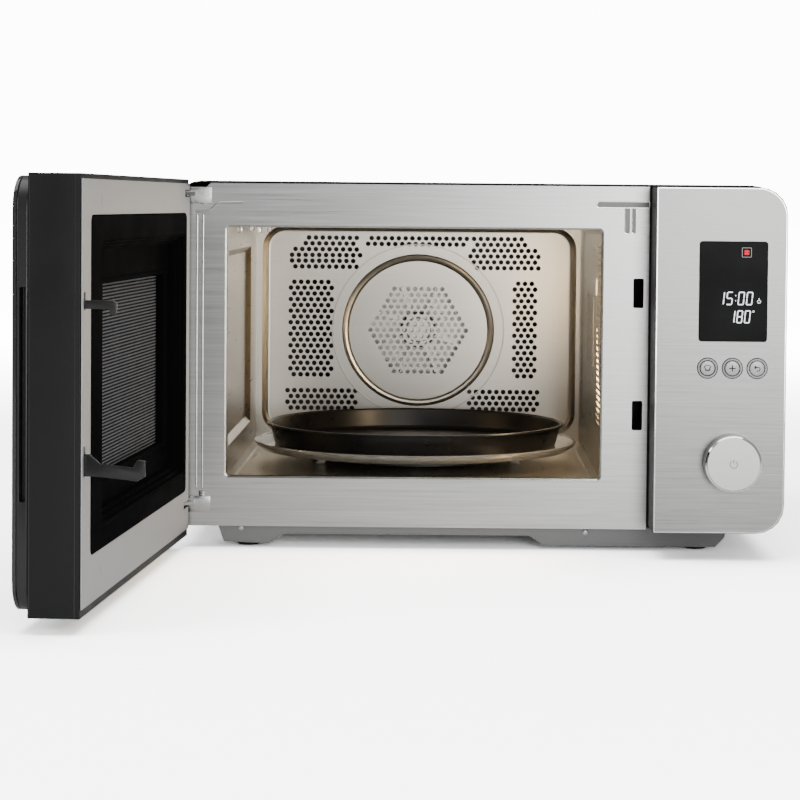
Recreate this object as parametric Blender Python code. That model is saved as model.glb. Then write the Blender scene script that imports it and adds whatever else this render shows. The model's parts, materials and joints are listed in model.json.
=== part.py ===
"""Countertop microwave oven with convection fan, turntable and side-hinged door, standing open.
Metres; +X right, +Y back, +Z up. Built about the centre of the body with the front frame at Y = 0."""

import math

import bpy
from mathutils import Matrix, Vector

# Body
BODY_W = 0.566  # across the casing
BODY_D = 0.470  # front frame to rear panel
FRAME_H = 0.321  # front frame height
BASE_Z = 0.021  # underside of the front frame above the table
CORNER_R = 0.026  # casing and panel corners
SHEET = 0.0012
GAP = 0.0004  # between pieces that touch
# Cavity
CAVITY_W = BODY_W - 0.2133  # beside it: the hinge side, and the latch and machine space
CAVITY_H = FRAME_H - 0.0852
CAVITY_D = BODY_D - 0.118  # behind it: the convection unit and its motor
CAVITY_LEFT = 0.049  # left side of the casing to the opening
CAVITY_Z = 0.0668  # floor of the cavity above the table
TABLE_Y = CAVITY_D / 2  # turntable axis behind the frame
PLATE_R = min(CAVITY_W - 0.0277, CAVITY_D - 0.027) / 2
PLATE_LIFT = 0.0107  # underside of the glass plate above the floor
PAN_R = PLATE_R - 0.013
PAN_H = 0.0221
RING_EMBOSS_R = 0.085
REAR_HOLE_R = 0.006
REAR_HOLE_PITCH = 0.019
# Control panel
PANEL_W = 0.1197
PANEL_H = FRAME_H - 0.0043
PANEL_PROUD = 0.0545
DISPLAY_W, DISPLAY_H, DISPLAY_DOWN = 0.0614, 0.0904, 0.0950  # the last one: top of the body to its middle
BUTTON_R, BUTTON_PITCH, BUTTON_DOWN = 0.0066, 0.0226, 0.1650
BEZEL_R = 0.0091
KNOB_R, KNOB_H, KNOB_Z = 0.0258, 0.018, 0.0912
CONTROL_X = 0.0703  # left edge of the panel to the middle of its controls
# Door
DOOR_T = 0.053
DOOR_GAP = 0.002
DOOR_OPEN = 94.0  # degrees
DOOR_UP, DOOR_DOWN = 0.003, 0.0082  # beyond the front frame
HINGE_IN = 0.006  # end of the door to its hinge axis
HINGE_DEEP = 0.010  # inner face of the door to its hinge axis
SCREEN_W, SCREEN_H, SCREEN_Z = CAVITY_W - 0.0387, FRAME_H - 0.168, 0.105
HOOK_T = 0.004
HOOK_UP_DOWN, HOOK_LOW_Z = 0.0980, 0.1190  # upper hook below the top, lower hook above the table
SLOT_W, SLOT_H = 0.0097, 0.0275
SLOT_UP_DOWN, SLOT_LOW_Z = 0.1132, 0.1143
FAN_R, FAN_BLADES = 0.066, 8
HEATER_CLEAR = 0.013  # fan blades to the middle of the ring heater round them
COOL_R, COOL_BLADES = 0.040, 5
FOOT_R, FOOT_H = 0.0115, 0.0032

LEFT, RIGHT = -BODY_W / 2, BODY_W / 2
TOP = BASE_Z + FRAME_H
CASE_TOP = TOP + 0.0022
DISPLAY_Z, BUTTON_Z = TOP - DISPLAY_DOWN, TOP - BUTTON_DOWN
HOOK_UP_Z, SLOT_UP_Z = TOP - HOOK_UP_DOWN, TOP - SLOT_UP_DOWN
CAV_X0 = LEFT + CAVITY_LEFT
CAV_X1 = CAV_X0 + CAVITY_W
CAV_X = (CAV_X0 + CAV_X1) / 2
CAV_TOP = CAVITY_Z + CAVITY_H
PANEL_X0 = RIGHT - PANEL_W
FRAME_X1 = PANEL_X0 - 0.0019
HINGE_X, HINGE_Y = LEFT + HINGE_IN, -DOOR_GAP - HINGE_DEEP
DOOR_L = FRAME_X1 - 0.0022 - HINGE_X  # axis to free edge
DOOR_Z0, DOOR_Z1 = BASE_Z - DOOR_DOWN, TOP + DOOR_UP
FAN_Y, FAN_Z = CAVITY_D + 0.024, CAVITY_Z + 0.508 * CAVITY_H
HEATER_R = FAN_R + HEATER_CLEAR
PANEL_Y = -PANEL_PROUD
PANEL_Z0 = TOP - PANEL_H
COOL_X, COOL_Z, COOL_Y = CAV_X1 + 0.0813, TOP - 0.112, BODY_D - 0.026
CTRL_X = PANEL_X0 + CONTROL_X

for old in list(bpy.data.objects):
    bpy.data.objects.remove(old, do_unlink=True)
root = bpy.data.objects.new("root", None)
bpy.context.collection.objects.link(root)


def frame_empty(name, where, parent=None):
    """An empty on a joint axis, given in the parent's own space."""
    empty = bpy.data.objects.new(name, None)
    empty.location = where
    empty.parent = parent or root
    bpy.context.collection.objects.link(empty)
    return empty


def solid(name, points, faces, parent=None, at=(0, 0, 0)):
    """A mesh object whose own origin is at `at`; the points are in the parent's space."""
    mesh = bpy.data.meshes.new(name)
    shift = Vector(at)
    mesh.from_pydata([Vector(p) - shift for p in points], [], faces)
    item = bpy.data.objects.new(name, mesh)
    item.location = at
    item.parent = parent or root
    bpy.context.collection.objects.link(item)
    return item


def prism(name, outline, lo, hi, axis="Y", parent=None, at=(0, 0, 0)):
    """An outline (counter-clockwise about the axis) pushed from lo to hi along X, Y or Z."""
    place = {"X": lambda a, b, c: (c, a, b), "Y": lambda a, b, c: (b, c, a), "Z": lambda a, b, c: (a, b, c)}[axis]
    n = len(outline)
    area = sum(outline[i][0] * outline[(i + 1) % n][1] - outline[(i + 1) % n][0] * outline[i][1] for i in range(n))
    if area < 0:
        outline = outline[::-1]
    points = [place(a, b, c) for c in (lo, hi) for a, b in outline]
    faces = [list(range(n))[::-1], list(range(n, 2 * n))]
    faces += [[i, (i + 1) % n, n + (i + 1) % n, n + i] for i in range(n)]
    return solid(name, points, faces, parent, at)


def rounded(a0, a1, b0, b1, radii, steps=5):
    """A rectangle outline with one radius per corner: low-low, high-low, high-high, low-high."""
    corners = [(a0, b0, 180), (a1, b0, 270), (a1, b1, 0), (a0, b1, 90)]
    out = []
    for (a, b, start), r in zip(corners, radii):
        if r <= 0:
            out.append((a, b))
            continue
        ca = a + r if a == a0 else a - r
        cb = b + r if b == b0 else b - r
        for k in range(steps + 1):
            t = math.radians(start + 90 * k / steps)
            out.append((ca + r * math.cos(t), cb + r * math.sin(t)))
    return out


def box(name, x0, x1, y0, y1, z0, z1, parent=None, at=(0, 0, 0)):
    return prism(name, [(x0, y0), (x1, y0), (x1, y1), (x0, y1)], z0, z1, "Z", parent, at)


def face_plate(name, x0, x1, z0, z1, y0, y1, radii=(0, 0, 0, 0), parent=None, at=(0, 0, 0)):
    """A plate across Y whose corner radii go low-left, low-right, top-right, top-left."""
    outline = [(z, x) for x, z in rounded(x0, x1, z0, z1, radii)]
    return prism(name, outline, y0, y1, "Y", parent, at)


def rod(name, centre, r, lo, hi, axis="Y", sides=24, parent=None, at=(0, 0, 0), r2=None):
    """A round bar or cone; centre is the pair of coordinates across the axis, in cyclic order."""
    ring = [(math.cos(2 * math.pi * k / sides), math.sin(2 * math.pi * k / sides)) for k in range(sides)]
    item = prism(name, [(centre[0] + r * c, centre[1] + r * s) for c, s in ring], lo, hi, axis, parent, at)
    if r2 is not None:
        place = {"X": (1, 2), "Y": (2, 0), "Z": (0, 1)}[axis]
        off = [at[i] for i in place]
        for v in item.data.vertices[sides:]:
            for i, c, o in zip(place, centre, off):
                v.co[i] = (v.co[i] + o - c) * r2 / r + c - o
    return item


def combine(target, tool, how):
    tool.hide_render = True
    tool.display_type = "WIRE"
    mod = target.modifiers.new(tool.name, "BOOLEAN")
    mod.operation = how
    mod.solver = "EXACT"
    mod.object = tool
    return target


def cut(target, tool):
    return combine(target, tool, "DIFFERENCE")


def join(target, tool):
    return combine(target, tool, "UNION")


# Outer casing: a wrap of sheet with rounded corners, its lower edges curled in under the body.
casing = face_plate("outer_casing", LEFT, RIGHT, BASE_Z, CASE_TOP, SHEET + GAP, BODY_D, [CORNER_R] * 4)
cut(casing, face_plate("casing_inside", LEFT + SHEET, RIGHT - SHEET, BASE_Z + SHEET, CASE_TOP - SHEET,
                       -0.01, BODY_D + 0.01, [CORNER_R - SHEET] * 4))
cut(casing, box("casing_under", LEFT + CORNER_R, RIGHT - CORNER_R, -0.01, BODY_D + 0.01, BASE_Z - 0.01, BASE_Z + 0.01))
for k in range(6):
    cut(casing, box(f"casing_vent_{k}", RIGHT - 0.01, RIGHT + 0.01, 0.30, 0.36, 0.10 + 0.02 * k, 0.108 + 0.02 * k))

# Rear panel: closes the back, with an air outlet and the hole for the power inlet.
INSIDE = SHEET + GAP
rear = face_plate("rear_panel", LEFT + INSIDE, RIGHT - INSIDE, BASE_Z + INSIDE + SHEET, CASE_TOP - INSIDE,
                  BODY_D - 0.004, BODY_D - 0.004 + SHEET, [CORNER_R - INSIDE] * 4)
for k in range(6):
    vent_z = COOL_Z - 0.040 + 0.014 * k
    cut(rear, box(f"rear_vent_{k}", COOL_X - 0.040, COOL_X + 0.040, BODY_D - 0.02, BODY_D + 0.02, vent_z, vent_z + 0.005))
INLET_X, INLET_Z = CAV_X1 + 0.0963, 0.070
cut(rear, box("rear_inlet_hole", INLET_X - 0.011, INLET_X + 0.011, BODY_D - 0.02, BODY_D + 0.02,
              INLET_Z - 0.011, INLET_Z + 0.011))

# Power inlet: a square gland through the rear panel, with a collar on each side.
inlet = box("power_inlet", INLET_X - 0.0105, INLET_X + 0.0105, BODY_D - 0.014, BODY_D + 0.006,
            INLET_Z - 0.0105, INLET_Z + 0.0105)
join(inlet, box("inlet_collar", INLET_X - 0.015, INLET_X + 0.015, BODY_D - 0.0024, BODY_D + 0.002,
                INLET_Z - 0.015, INLET_Z + 0.015))
cut(inlet, rod("inlet_bore", (INLET_Z, INLET_X), 0.0042, BODY_D - 0.02, BODY_D + 0.02, "Y", 16))

# Base pan: a tray with two deep pods that hold the feet, and a flange under the body.
POD = [(-0.2405, BASE_Z), (-0.2353, 0.0050), (-0.1929, 0.0036), (-0.1778, 0.0128), (0.0523, 0.0128),
       (0.0664, 0.0036), (0.2277, 0.0036), (0.2360, 0.0128), (0.2385, BASE_Z)]
outer = [(x * BODY_W / 0.566, z) for x, z in POD]
mid_z = BASE_Z + SHEET
base = prism("base_pan", [(z, x) for x, z in outer] + [(mid_z, outer[-1][0]), (mid_z, outer[0][0])],
             0.008, BODY_D - 0.03)
inner = [(x - SHEET * (1 if x > 0 else -1) * (1 if i in (0, 1, 7, 8) else 0), z + SHEET)
         for i, (x, z) in enumerate(outer)]
cut(base, prism("base_inside", [(z, x) for x, z in inner] + [(0.05, inner[-1][0]), (0.05, inner[0][0])],
                0.008 + SHEET, BODY_D - 0.03 - SHEET))
flange = box("base_flange", LEFT + CORNER_R + GAP, RIGHT - CORNER_R - GAP, SHEET + GAP, BODY_D - 0.005, BASE_Z, mid_z)
cut(flange, box("base_flange_hole", outer[0][0] + 0.004, outer[-1][0] - 0.004, 0.012, BODY_D - 0.034, 0, 0.05))
join(base, flange)

# Feet: four rubber pads under the pods.
for side, x in (("left", -0.2131), ("right", 0.2107)):
    for end, y in (("front", 0.030), ("rear", BODY_D - 0.055)):
        rod(f"foot_{end}_{side}", (x * BODY_W / 0.566, y), FOOT_R - 0.0012, 0, FOOT_H, "Z", 24, r2=FOOT_R)

# Front frame: the steel face round the opening, with two latch slots.
frame = face_plate("front_frame", LEFT + GAP, FRAME_X1, BASE_Z, TOP, 0, SHEET, [CORNER_R, 0, 0, CORNER_R])
cut(frame, face_plate("frame_opening", CAV_X0, CAV_X1, CAVITY_Z, CAV_TOP, -0.01, 0.01, [0.004] * 4))
SLOT_X = FRAME_X1 - 0.0096
for name, z in (("upper", SLOT_UP_Z), ("lower", SLOT_LOW_Z)):
    cut(frame, box(f"frame_slot_{name}", SLOT_X - SLOT_W / 2, SLOT_X + SLOT_W / 2, -0.01, 0.01, z, z + SLOT_H))

# Oven cavity: a welded box with a front flange, the fan holes and the coupler hole.
CY = SHEET + GAP
cavity = box("oven_cavity", CAV_X0 - SHEET, CAV_X1 + SHEET, CY, CAVITY_D + SHEET, CAVITY_Z - SHEET, CAV_TOP + SHEET)
join(cavity, box("cavity_flange", CAV_X0 - 0.010, CAV_X1 + 0.009, CY, CY + SHEET, CAVITY_Z - 0.010, CAV_TOP + 0.010))
cut(cavity, box("cavity_inside", CAV_X0, CAV_X1, CY - 0.01, CAVITY_D, CAVITY_Z, CAV_TOP))
for k in range(7):
    turn = math.radians(60 * k)
    far = REAR_HOLE_PITCH if k < 6 else 0
    cut(cavity, rod(f"cavity_fan_hole_{k}", (FAN_Z + far * math.sin(turn), CAV_X + far * math.cos(turn)),
                    REAR_HOLE_R, CAVITY_D - 0.01, CAVITY_D + 0.01, "Y", 12))
cut(cavity, rod("cavity_coupler_hole", (CAV_X, TABLE_Y), 0.0115, CAVITY_Z - 0.01, CAVITY_Z + 0.01, "Z", 24))
FEED_Y, FEED_Z, FEED_W, FEED_H = 0.483 * CAVITY_D, CAVITY_Z + 0.565 * CAVITY_H, 0.080, 0.050
cut(cavity, box("cavity_feed_hole", CAV_X1 - 0.01, CAV_X1 + 0.01, FEED_Y - FEED_W / 2, FEED_Y + FEED_W / 2,
                FEED_Z - FEED_H / 2, FEED_Z + FEED_H / 2))
LAMP_Y, LAMP_Z = 0.086, CAV_TOP - 0.0576
cut(cavity, rod("cavity_lamp_hole", (LAMP_Y, LAMP_Z), 0.009, CAV_X1 - 0.01, CAV_X1 + 0.01, "X", 20))

# Waveguide cover, waveguide, magnetron: the microwave feed on the right wall.
box("waveguide_cover", CAV_X1 - GAP - 0.0006, CAV_X1 - GAP, FEED_Y - 0.050, FEED_Y + 0.050, FEED_Z - 0.034, FEED_Z + 0.034)
GX0, GX1 = CAV_X1 + SHEET + GAP, CAV_X1 + SHEET + GAP + 0.040
guide = box("waveguide", GX0, GX1, FEED_Y - 0.045, FEED_Y + 0.060, FEED_Z - 0.030, FEED_Z + 0.030)
cut(guide, box("guide_inside", GX0 + SHEET, GX1 - SHEET, FEED_Y - 0.045 + SHEET, FEED_Y + 0.060 - SHEET,
               FEED_Z - 0.030 + SHEET, FEED_Z + 0.030 - SHEET))
cut(guide, box("guide_mouth", GX0 - 0.01, GX0 + 0.01, FEED_Y - 0.038, FEED_Y + 0.038, FEED_Z - 0.024, FEED_Z + 0.024))
MAG_Y = FEED_Y + 0.030
cut(guide, rod("guide_antenna_hole", (MAG_Y, FEED_Z), 0.012, GX1 - 0.01, GX1 + 0.01, "X", 20))
MX0 = GX1 + GAP
magnetron = box("magnetron", MX0, MX0 + 0.070, MAG_Y - 0.040, MAG_Y + 0.040, FEED_Z - 0.048, FEED_Z + 0.048)
for k in range(5):
    z = FEED_Z - 0.030 + 0.015 * k
    cut(magnetron, box(f"magnetron_gap_{k}", MX0 + 0.012, MX0 + 0.055, MAG_Y - 0.05, MAG_Y + 0.05, z - 0.005, z + 0.005))
join(magnetron, rod("magnetron_antenna", (MAG_Y, FEED_Z), 0.009, MX0 - 0.022, MX0 + 0.005, "X", 20))
join(magnetron, rod("magnetron_core", (MAG_Y, FEED_Z), 0.020, MX0 + 0.002, MX0 + 0.066, "X", 20))
join(magnetron, box("magnetron_terminals", MX0 + 0.066, MX0 + 0.082, MAG_Y - 0.012, MAG_Y + 0.012,
                    FEED_Z - 0.016, FEED_Z + 0.016))

# High-voltage transformer and capacitor on the base behind the control panel.
TX, TY = CAV_X1 + 0.075, 0.319 * BODY_D
transformer = box("transformer", TX - 0.045, TX + 0.045, TY - 0.035, TY + 0.035, mid_z + GAP, 0.100)
for k, z in enumerate((0.040, 0.068)):
    join(transformer, face_plate(f"transformer_coil_{k}", TX - 0.030, TX + 0.030, z, z + 0.022, TY - 0.052,
                                 TY + 0.052, [0.008] * 4))
face_plate("capacitor", TX - 0.045, TX - 0.010, mid_z + GAP, 0.078, 0.521 * BODY_D, 0.723 * BODY_D, [0.012] * 4)

# Cooling fan: shroud, motor and rotor against the rear panel.
shroud = box("cooling_fan_shroud", COOL_X - 0.047, COOL_X + 0.047, BODY_D - 0.038, BODY_D - 0.0045,
             COOL_Z - 0.047, COOL_Z + 0.047)
cut(shroud, rod("shroud_bore", (COOL_Z, COOL_X), COOL_R + 0.003, BODY_D - 0.034, BODY_D, "Y", 40))
cut(shroud, rod("shroud_mouth", (COOL_Z, COOL_X), COOL_R, BODY_D - 0.05, BODY_D - 0.03, "Y", 40))
motor = rod("cooling_fan_motor", (COOL_Z, COOL_X), 0.021, BODY_D - 0.075, BODY_D - 0.045, "Y", 24)
for k in range(2):
    join(motor, box(f"motor_arm_{k}", COOL_X - 0.046, COOL_X + 0.046, BODY_D - 0.052, BODY_D - 0.0485,
                    COOL_Z - 0.016 + 0.024 * k, COOL_Z - 0.008 + 0.024 * k))
for k, x in enumerate((-0.0465, 0.0395)):
    join(motor, box(f"motor_post_{k}", COOL_X + x, COOL_X + x + 0.007, BODY_D - 0.052, BODY_D - 0.038 - GAP,
                    COOL_Z - 0.016, COOL_Z + 0.016))
cut(motor, rod("motor_bore", (COOL_Z, COOL_X), 0.0028, BODY_D - 0.066, BODY_D - 0.04, "Y", 16))
cool = rod("cooling_fan", (COOL_Z, COOL_X), 0.014, COOL_Y - 0.009, COOL_Y + 0.009, "Y", 24,
           at=(COOL_X, COOL_Y, COOL_Z))
join(cool, rod("cool_shaft", (COOL_Z, COOL_X), 0.0024, BODY_D - 0.064, COOL_Y, "Y", 16))


def blade(name, centre, inner, reach, y0, y1, turn, thick=0.0016, sweep=0.0):
    """A fan blade about an axis along Y, as a swept slab from one radius to another."""
    x, z = centre
    length = Matrix.Rotation(turn, 3, "Y")
    lean = sweep
    points = [(inner, y0, -thick - lean), (reach, y0, -thick - lean), (reach, y0, thick - lean), (inner, y0, thick - lean),
              (inner, y1, -thick + lean), (reach, y1, -thick + lean), (reach, y1, thick + lean), (inner, y1, thick + lean)]
    moved = [length @ Vector(p) + Vector((x, 0, z)) for p in points]
    faces = [[3, 2, 1, 0], [4, 5, 6, 7], [0, 1, 5, 4], [1, 2, 6, 5], [2, 3, 7, 6], [3, 0, 4, 7]]
    item = solid(name, moved, [f[::-1] for f in faces])
    return item


for k in range(COOL_BLADES):
    join(cool, blade(f"cool_blade_{k}", (COOL_X, COOL_Z), 0.010, COOL_R - 0.002, COOL_Y - 0.008, COOL_Y + 0.008,
                     2 * math.pi * k / COOL_BLADES, 0.001, 0.005))

# Convection: housing behind the rear wall, ring heater, motor and fan wheel.
HR, HY0, HY1 = HEATER_R + 0.015, CAVITY_D + SHEET + GAP, CAVITY_D + 0.048
housing = rod("convection_housing", (FAN_Z, CAV_X), HR, HY0, HY1, "Y", 40)
cut(housing, rod("housing_inside", (FAN_Z, CAV_X), HR - SHEET, HY0 - 0.01, HY1 - SHEET, "Y", 40))
cut(housing, rod("housing_shaft_hole", (FAN_Z, CAV_X), 0.006, HY1 - 0.01, HY1 + 0.01, "Y", 20))
for k, x in enumerate((-0.014, 0.014)):
    cut(housing, rod(f"housing_terminal_hole_{k}", (FAN_Z - HEATER_R + 0.001, CAV_X + x), 0.006, HY1 - 0.01, HY1 + 0.01, "Y", 12))
heat = bpy.data.curves.new("convection_heater", "CURVE")
heat.dimensions = "3D"
heat.bevel_depth = 0.0033
heat.bevel_resolution = 2
heat.use_fill_caps = True
path = heat.splines.new("POLY")
trail = [(CAV_X - 0.014, HY1 + 0.012, FAN_Z - HEATER_R + 0.001)]
start = math.radians(-90 - 10.5)
for k in range(33):
    t = start - math.radians(339) * k / 32
    trail.append((CAV_X + HEATER_R * math.cos(t), FAN_Y, FAN_Z + HEATER_R * math.sin(t)))
trail.append((CAV_X + 0.014, HY1 + 0.012, FAN_Z - HEATER_R + 0.001))
path.points.add(len(trail) - 1)
for point, where in zip(path.points, trail):
    point.co = (*where, 1)
heater = bpy.data.objects.new("convection_heater", heat)
heater.parent = root
bpy.context.collection.objects.link(heater)
fan_motor = rod("convection_motor", (FAN_Z, CAV_X), 0.030, HY1 + GAP, HY1 + 0.042, "Y", 32)
join(fan_motor, box("convection_stack", CAV_X - 0.036, CAV_X + 0.036, HY1 + 0.010, HY1 + 0.034,
                    FAN_Z - 0.024, FAN_Z + 0.024))
cut(fan_motor, rod("convection_bore", (FAN_Z, CAV_X), 0.0042, HY1 - 0.01, HY1 + 0.030, "Y", 16))
wheel = rod("convection_fan", (FAN_Z, CAV_X), FAN_R, FAN_Y + 0.006, FAN_Y + 0.0075, "Y", 40, at=(CAV_X, FAN_Y, FAN_Z))
join(wheel, rod("fan_hub", (FAN_Z, CAV_X), 0.012, FAN_Y - 0.010, FAN_Y + 0.010, "Y", 24))
join(wheel, rod("fan_shaft", (FAN_Z, CAV_X), 0.0038, FAN_Y, HY1 + 0.026, "Y", 16))
for k in range(FAN_BLADES):
    join(wheel, blade(f"fan_blade_{k}", (CAV_X, FAN_Z), 0.018, FAN_R - 0.001, FAN_Y - 0.010, FAN_Y + 0.0068,
                      2 * math.pi * (k + 0.5) / FAN_BLADES, 0.0006))

# Cavity lamp in the right wall, looking in through its hole.
lamp = box("cavity_lamp", CAV_X1 + SHEET + GAP, CAV_X1 + 0.030, LAMP_Y - 0.014, LAMP_Y + 0.014,
           LAMP_Z - 0.014, LAMP_Z + 0.014)
join(lamp, rod("lamp_lens", (LAMP_Y, LAMP_Z), 0.0085, CAV_X1 - 0.0005, CAV_X1 + 0.010, "X", 20))

# Noise filter board behind the power inlet.
box("noise_filter_board", CAV_X1 + 0.0113, CAV_X1 + 0.0813, BODY_D - 0.075, BODY_D - 0.020, 0.060, 0.0616)

# Turntable: motor under the floor, coupler, roller ring with three rollers, glass plate and pan.
turn_motor = rod("turntable_motor", (CAV_X, TABLE_Y), 0.026, CAVITY_Z - SHEET - GAP - 0.020, CAVITY_Z - SHEET - GAP, "Z", 32)
cut(turn_motor, rod("turn_motor_bore", (CAV_X, TABLE_Y), 0.0046, CAVITY_Z - 0.017, CAVITY_Z + 0.01, "Z", 16))
PLATE_Z = CAVITY_Z + PLATE_LIFT
coupler = rod("turntable_coupler", (CAV_X, TABLE_Y), 0.0085, CAVITY_Z - SHEET + 0.0006, PLATE_Z - GAP, "Z", 24,
              at=(CAV_X, TABLE_Y, CAVITY_Z))
join(coupler, rod("coupler_shaft", (CAV_X, TABLE_Y), 0.0042, CAVITY_Z - 0.016, CAVITY_Z + 0.002, "Z", 16))
RING_R, ROLL_R, RING_Z = PLATE_R - 0.0585, 0.0050, CAVITY_Z + 0.0054
ring = rod("roller_ring", (CAV_X, TABLE_Y), RING_R, RING_Z - 0.0022, RING_Z + 0.0022, "Z", 48,
           at=(CAV_X, TABLE_Y, RING_Z))
cut(ring, rod("ring_inside", (CAV_X, TABLE_Y), RING_R - 0.007, RING_Z - 0.01, RING_Z + 0.01, "Z", 48))
for k in range(3):
    turn = math.radians(93.75 + 120 * k)
    spin = frame_empty(f"roller_axis_{k + 1}", (CAV_X, TABLE_Y, RING_Z), root)
    spin.rotation_euler = (0, 0, turn)
    join(ring, rod(f"ring_axle_{k}", (0, 0), 0.0013, RING_R - 0.003, RING_R + 0.017, "X", 12, parent=spin))
    roller = rod(f"roller_{k + 1}", (0, 0), ROLL_R, RING_R + 0.004, RING_R + 0.011, "X", 24, parent=spin,
                 at=(RING_R + 0.0075, 0, 0))
    cut(roller, rod(f"roller_bore_{k}", (0, 0), 0.0016, RING_R, RING_R + 0.03, "X", 12, parent=spin))
    join(ring, rod(f"ring_cap_{k}", (0, 0), 0.0024, RING_R + 0.0114, RING_R + 0.0140, "X", 12, parent=spin))
plate = rod("glass_turntable", (CAV_X, TABLE_Y), PLATE_R - 0.008, PLATE_Z, PLATE_Z + 0.009, "Z", 56,
            at=(CAV_X, TABLE_Y, PLATE_Z), r2=PLATE_R)
cut(plate, rod("plate_dish", (CAV_X, TABLE_Y), PLATE_R - 0.016, PLATE_Z + 0.0045, PLATE_Z + 0.0092, "Z", 56,
               r2=PLATE_R - 0.006))
PAN_Z = PLATE_Z + 0.0045 + GAP
pan = rod("baking_pan", (CAV_X, TABLE_Y), PAN_R - 0.008, PAN_Z, PAN_Z + PAN_H, "Z", 56,
          at=(CAV_X, TABLE_Y, PAN_Z), r2=PAN_R - 0.0035)
cut(pan, rod("pan_inside", (CAV_X, TABLE_Y), PAN_R - 0.0092, PAN_Z + 0.0012, PAN_Z + PAN_H + 0.001, "Z", 56,
             r2=PAN_R - 0.0047))
rim = rod("pan_rim", (CAV_X, TABLE_Y), PAN_R, PAN_Z + PAN_H - 0.0014, PAN_Z + PAN_H, "Z", 56)
cut(rim, rod("pan_rim_hole", (CAV_X, TABLE_Y), PAN_R - 0.0045, PAN_Z, PAN_Z + 0.05, "Z", 56))
join(pan, rim)

# Latch housing behind the two slots, with a safety switch beside each hook.
LX0, LX1 = CAV_X1 + 0.0105, FRAME_X1 - 0.0004
latch = box("latch_housing", LX0, LX1, CY, 0.064, 0.100, TOP - 0.064)
for name, z, h in (("upper", SLOT_UP_Z, SLOT_H), ("lower", SLOT_LOW_Z, SLOT_H)):
    cut(latch, box(f"latch_channel_{name}", SLOT_X - SLOT_W / 2 - 0.0008, SLOT_X + SLOT_W / 2 + 0.0016, -0.01, 0.060,
                   z - 0.002, z + h + 0.002))
    cut(latch, box(f"latch_switch_hole_{name}", LX0 - 0.01, SLOT_X, 0.030, 0.046, z + 0.006, z + 0.012))
for name, z in (("upper", SLOT_UP_Z), ("lower", SLOT_LOW_Z)):
    switch = box(f"interlock_switch_{name}", LX1 + GAP, LX1 + 0.011, 0.018, 0.046, z, z + 0.016)
    join(switch, box(f"switch_tabs_{name}", LX1 + 0.003, LX1 + 0.008, 0.045, 0.054, z + 0.004, z + 0.012))

# Control panel: housing, steel face, window, button bezel, board, encoder.
RR = [0, CORNER_R, CORNER_R, 0]
px0, px1, pz0, pz1 = PANEL_X0, RIGHT, PANEL_Z0, TOP
FACE_T = 0.0014
hy0, hy1 = PANEL_Y + FACE_T + GAP, -GAP
case = face_plate("panel_housing", px0, px1, pz0, pz1, hy0, hy1, RR)
cut(case, face_plate("housing_hollow", px0 + 0.0025, px1 - 0.0025, pz0 + 0.0025, pz1 - 0.0025, hy0 + 0.0030, hy1 + 0.01,
                     [0, CORNER_R - 0.0025, CORNER_R - 0.0025, 0]))
fascia = face_plate("panel_fascia", px0, px1, pz0, pz1, PANEL_Y, PANEL_Y + FACE_T, RR)
wx0, wx1 = CTRL_X - DISPLAY_W / 2, CTRL_X + DISPLAY_W / 2
wz0, wz1 = DISPLAY_Z - DISPLAY_H / 2, DISPLAY_Z + DISPLAY_H / 2
cut(fascia, face_plate("fascia_window", wx0 - GAP, wx1 + GAP, wz0 - GAP, wz1 + GAP, -0.06, -0.05, [0.0025] * 4))
face_plate("display_window", wx0, wx1, wz0, wz1, PANEL_Y - 0.0002, PANEL_Y + FACE_T - 0.0001, [0.0022] * 4)
bezel_y = hy0 + 0.0030 + GAP
bezel = face_plate("button_bezel", CTRL_X - BUTTON_PITCH - 0.013, CTRL_X + BUTTON_PITCH + 0.013, BUTTON_Z - 0.013,
                   BUTTON_Z + 0.013, bezel_y, bezel_y + 0.0016)
board = face_plate("control_board", px0 + 0.006, px1 - 0.010, pz0 + 0.028, pz1 - 0.028, -0.0330, -0.0314)
cut(case, face_plate("housing_window", wx0 + 0.004, wx1 - 0.004, wz0 + 0.004, wz1 - 0.004, -0.06, -0.04))
for k in range(3):
    x = CTRL_X + (k - 1) * BUTTON_PITCH
    for piece in (fascia, case):
        cut(piece, rod(f"bezel_hole_{piece.name}_{k}", (BUTTON_Z, x), BEZEL_R + GAP, -0.06, -0.04, "Y", 28))
    join(bezel, rod(f"bezel_ring_{k}", (BUTTON_Z, x), BEZEL_R, PANEL_Y - 0.0006, bezel_y + 0.001, "Y", 28))
    cut(bezel, rod(f"bezel_bore_{k}", (BUTTON_Z, x), BUTTON_R + 0.0006, -0.06, -0.04, "Y", 28))
    button = rod(f"button_{k + 1}", (BUTTON_Z, x), BUTTON_R, PANEL_Y - 0.0010, -0.0370, "Y", 28,
                 at=(x, PANEL_Y, BUTTON_Z))
    join(button, rod(f"button_flange_{k}", (BUTTON_Z, x), BUTTON_R + 0.0018, bezel_y + 0.0016 + GAP, bezel_y + 0.0034,
                     "Y", 28))
encoder = face_plate("encoder", CTRL_X - 0.0065, CTRL_X + 0.0065, KNOB_Z - 0.0065, KNOB_Z + 0.0065, -0.0400, -0.0334)
cut(encoder, rod("encoder_bore", (KNOB_Z, CTRL_X), 0.0036, -0.05, -0.0350, "Y", 20))
shaft = rod("encoder_shaft", (KNOB_Z, CTRL_X), 0.0032, PANEL_Y - 0.008, -0.0380, "Y", 20, at=(CTRL_X, PANEL_Y, KNOB_Z))
for piece in (fascia, case):
    cut(piece, rod(f"knob_hole_{piece.name}", (KNOB_Z, CTRL_X), 0.0055, -0.06, -0.04, "Y", 24))
KNOB_BACK = PANEL_Y - 0.0026
knob = rod("knob", (KNOB_Z, CTRL_X), KNOB_R, KNOB_BACK - KNOB_H + 0.0014, KNOB_BACK, "Y", 48, at=(CTRL_X, PANEL_Y, KNOB_Z))
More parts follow.
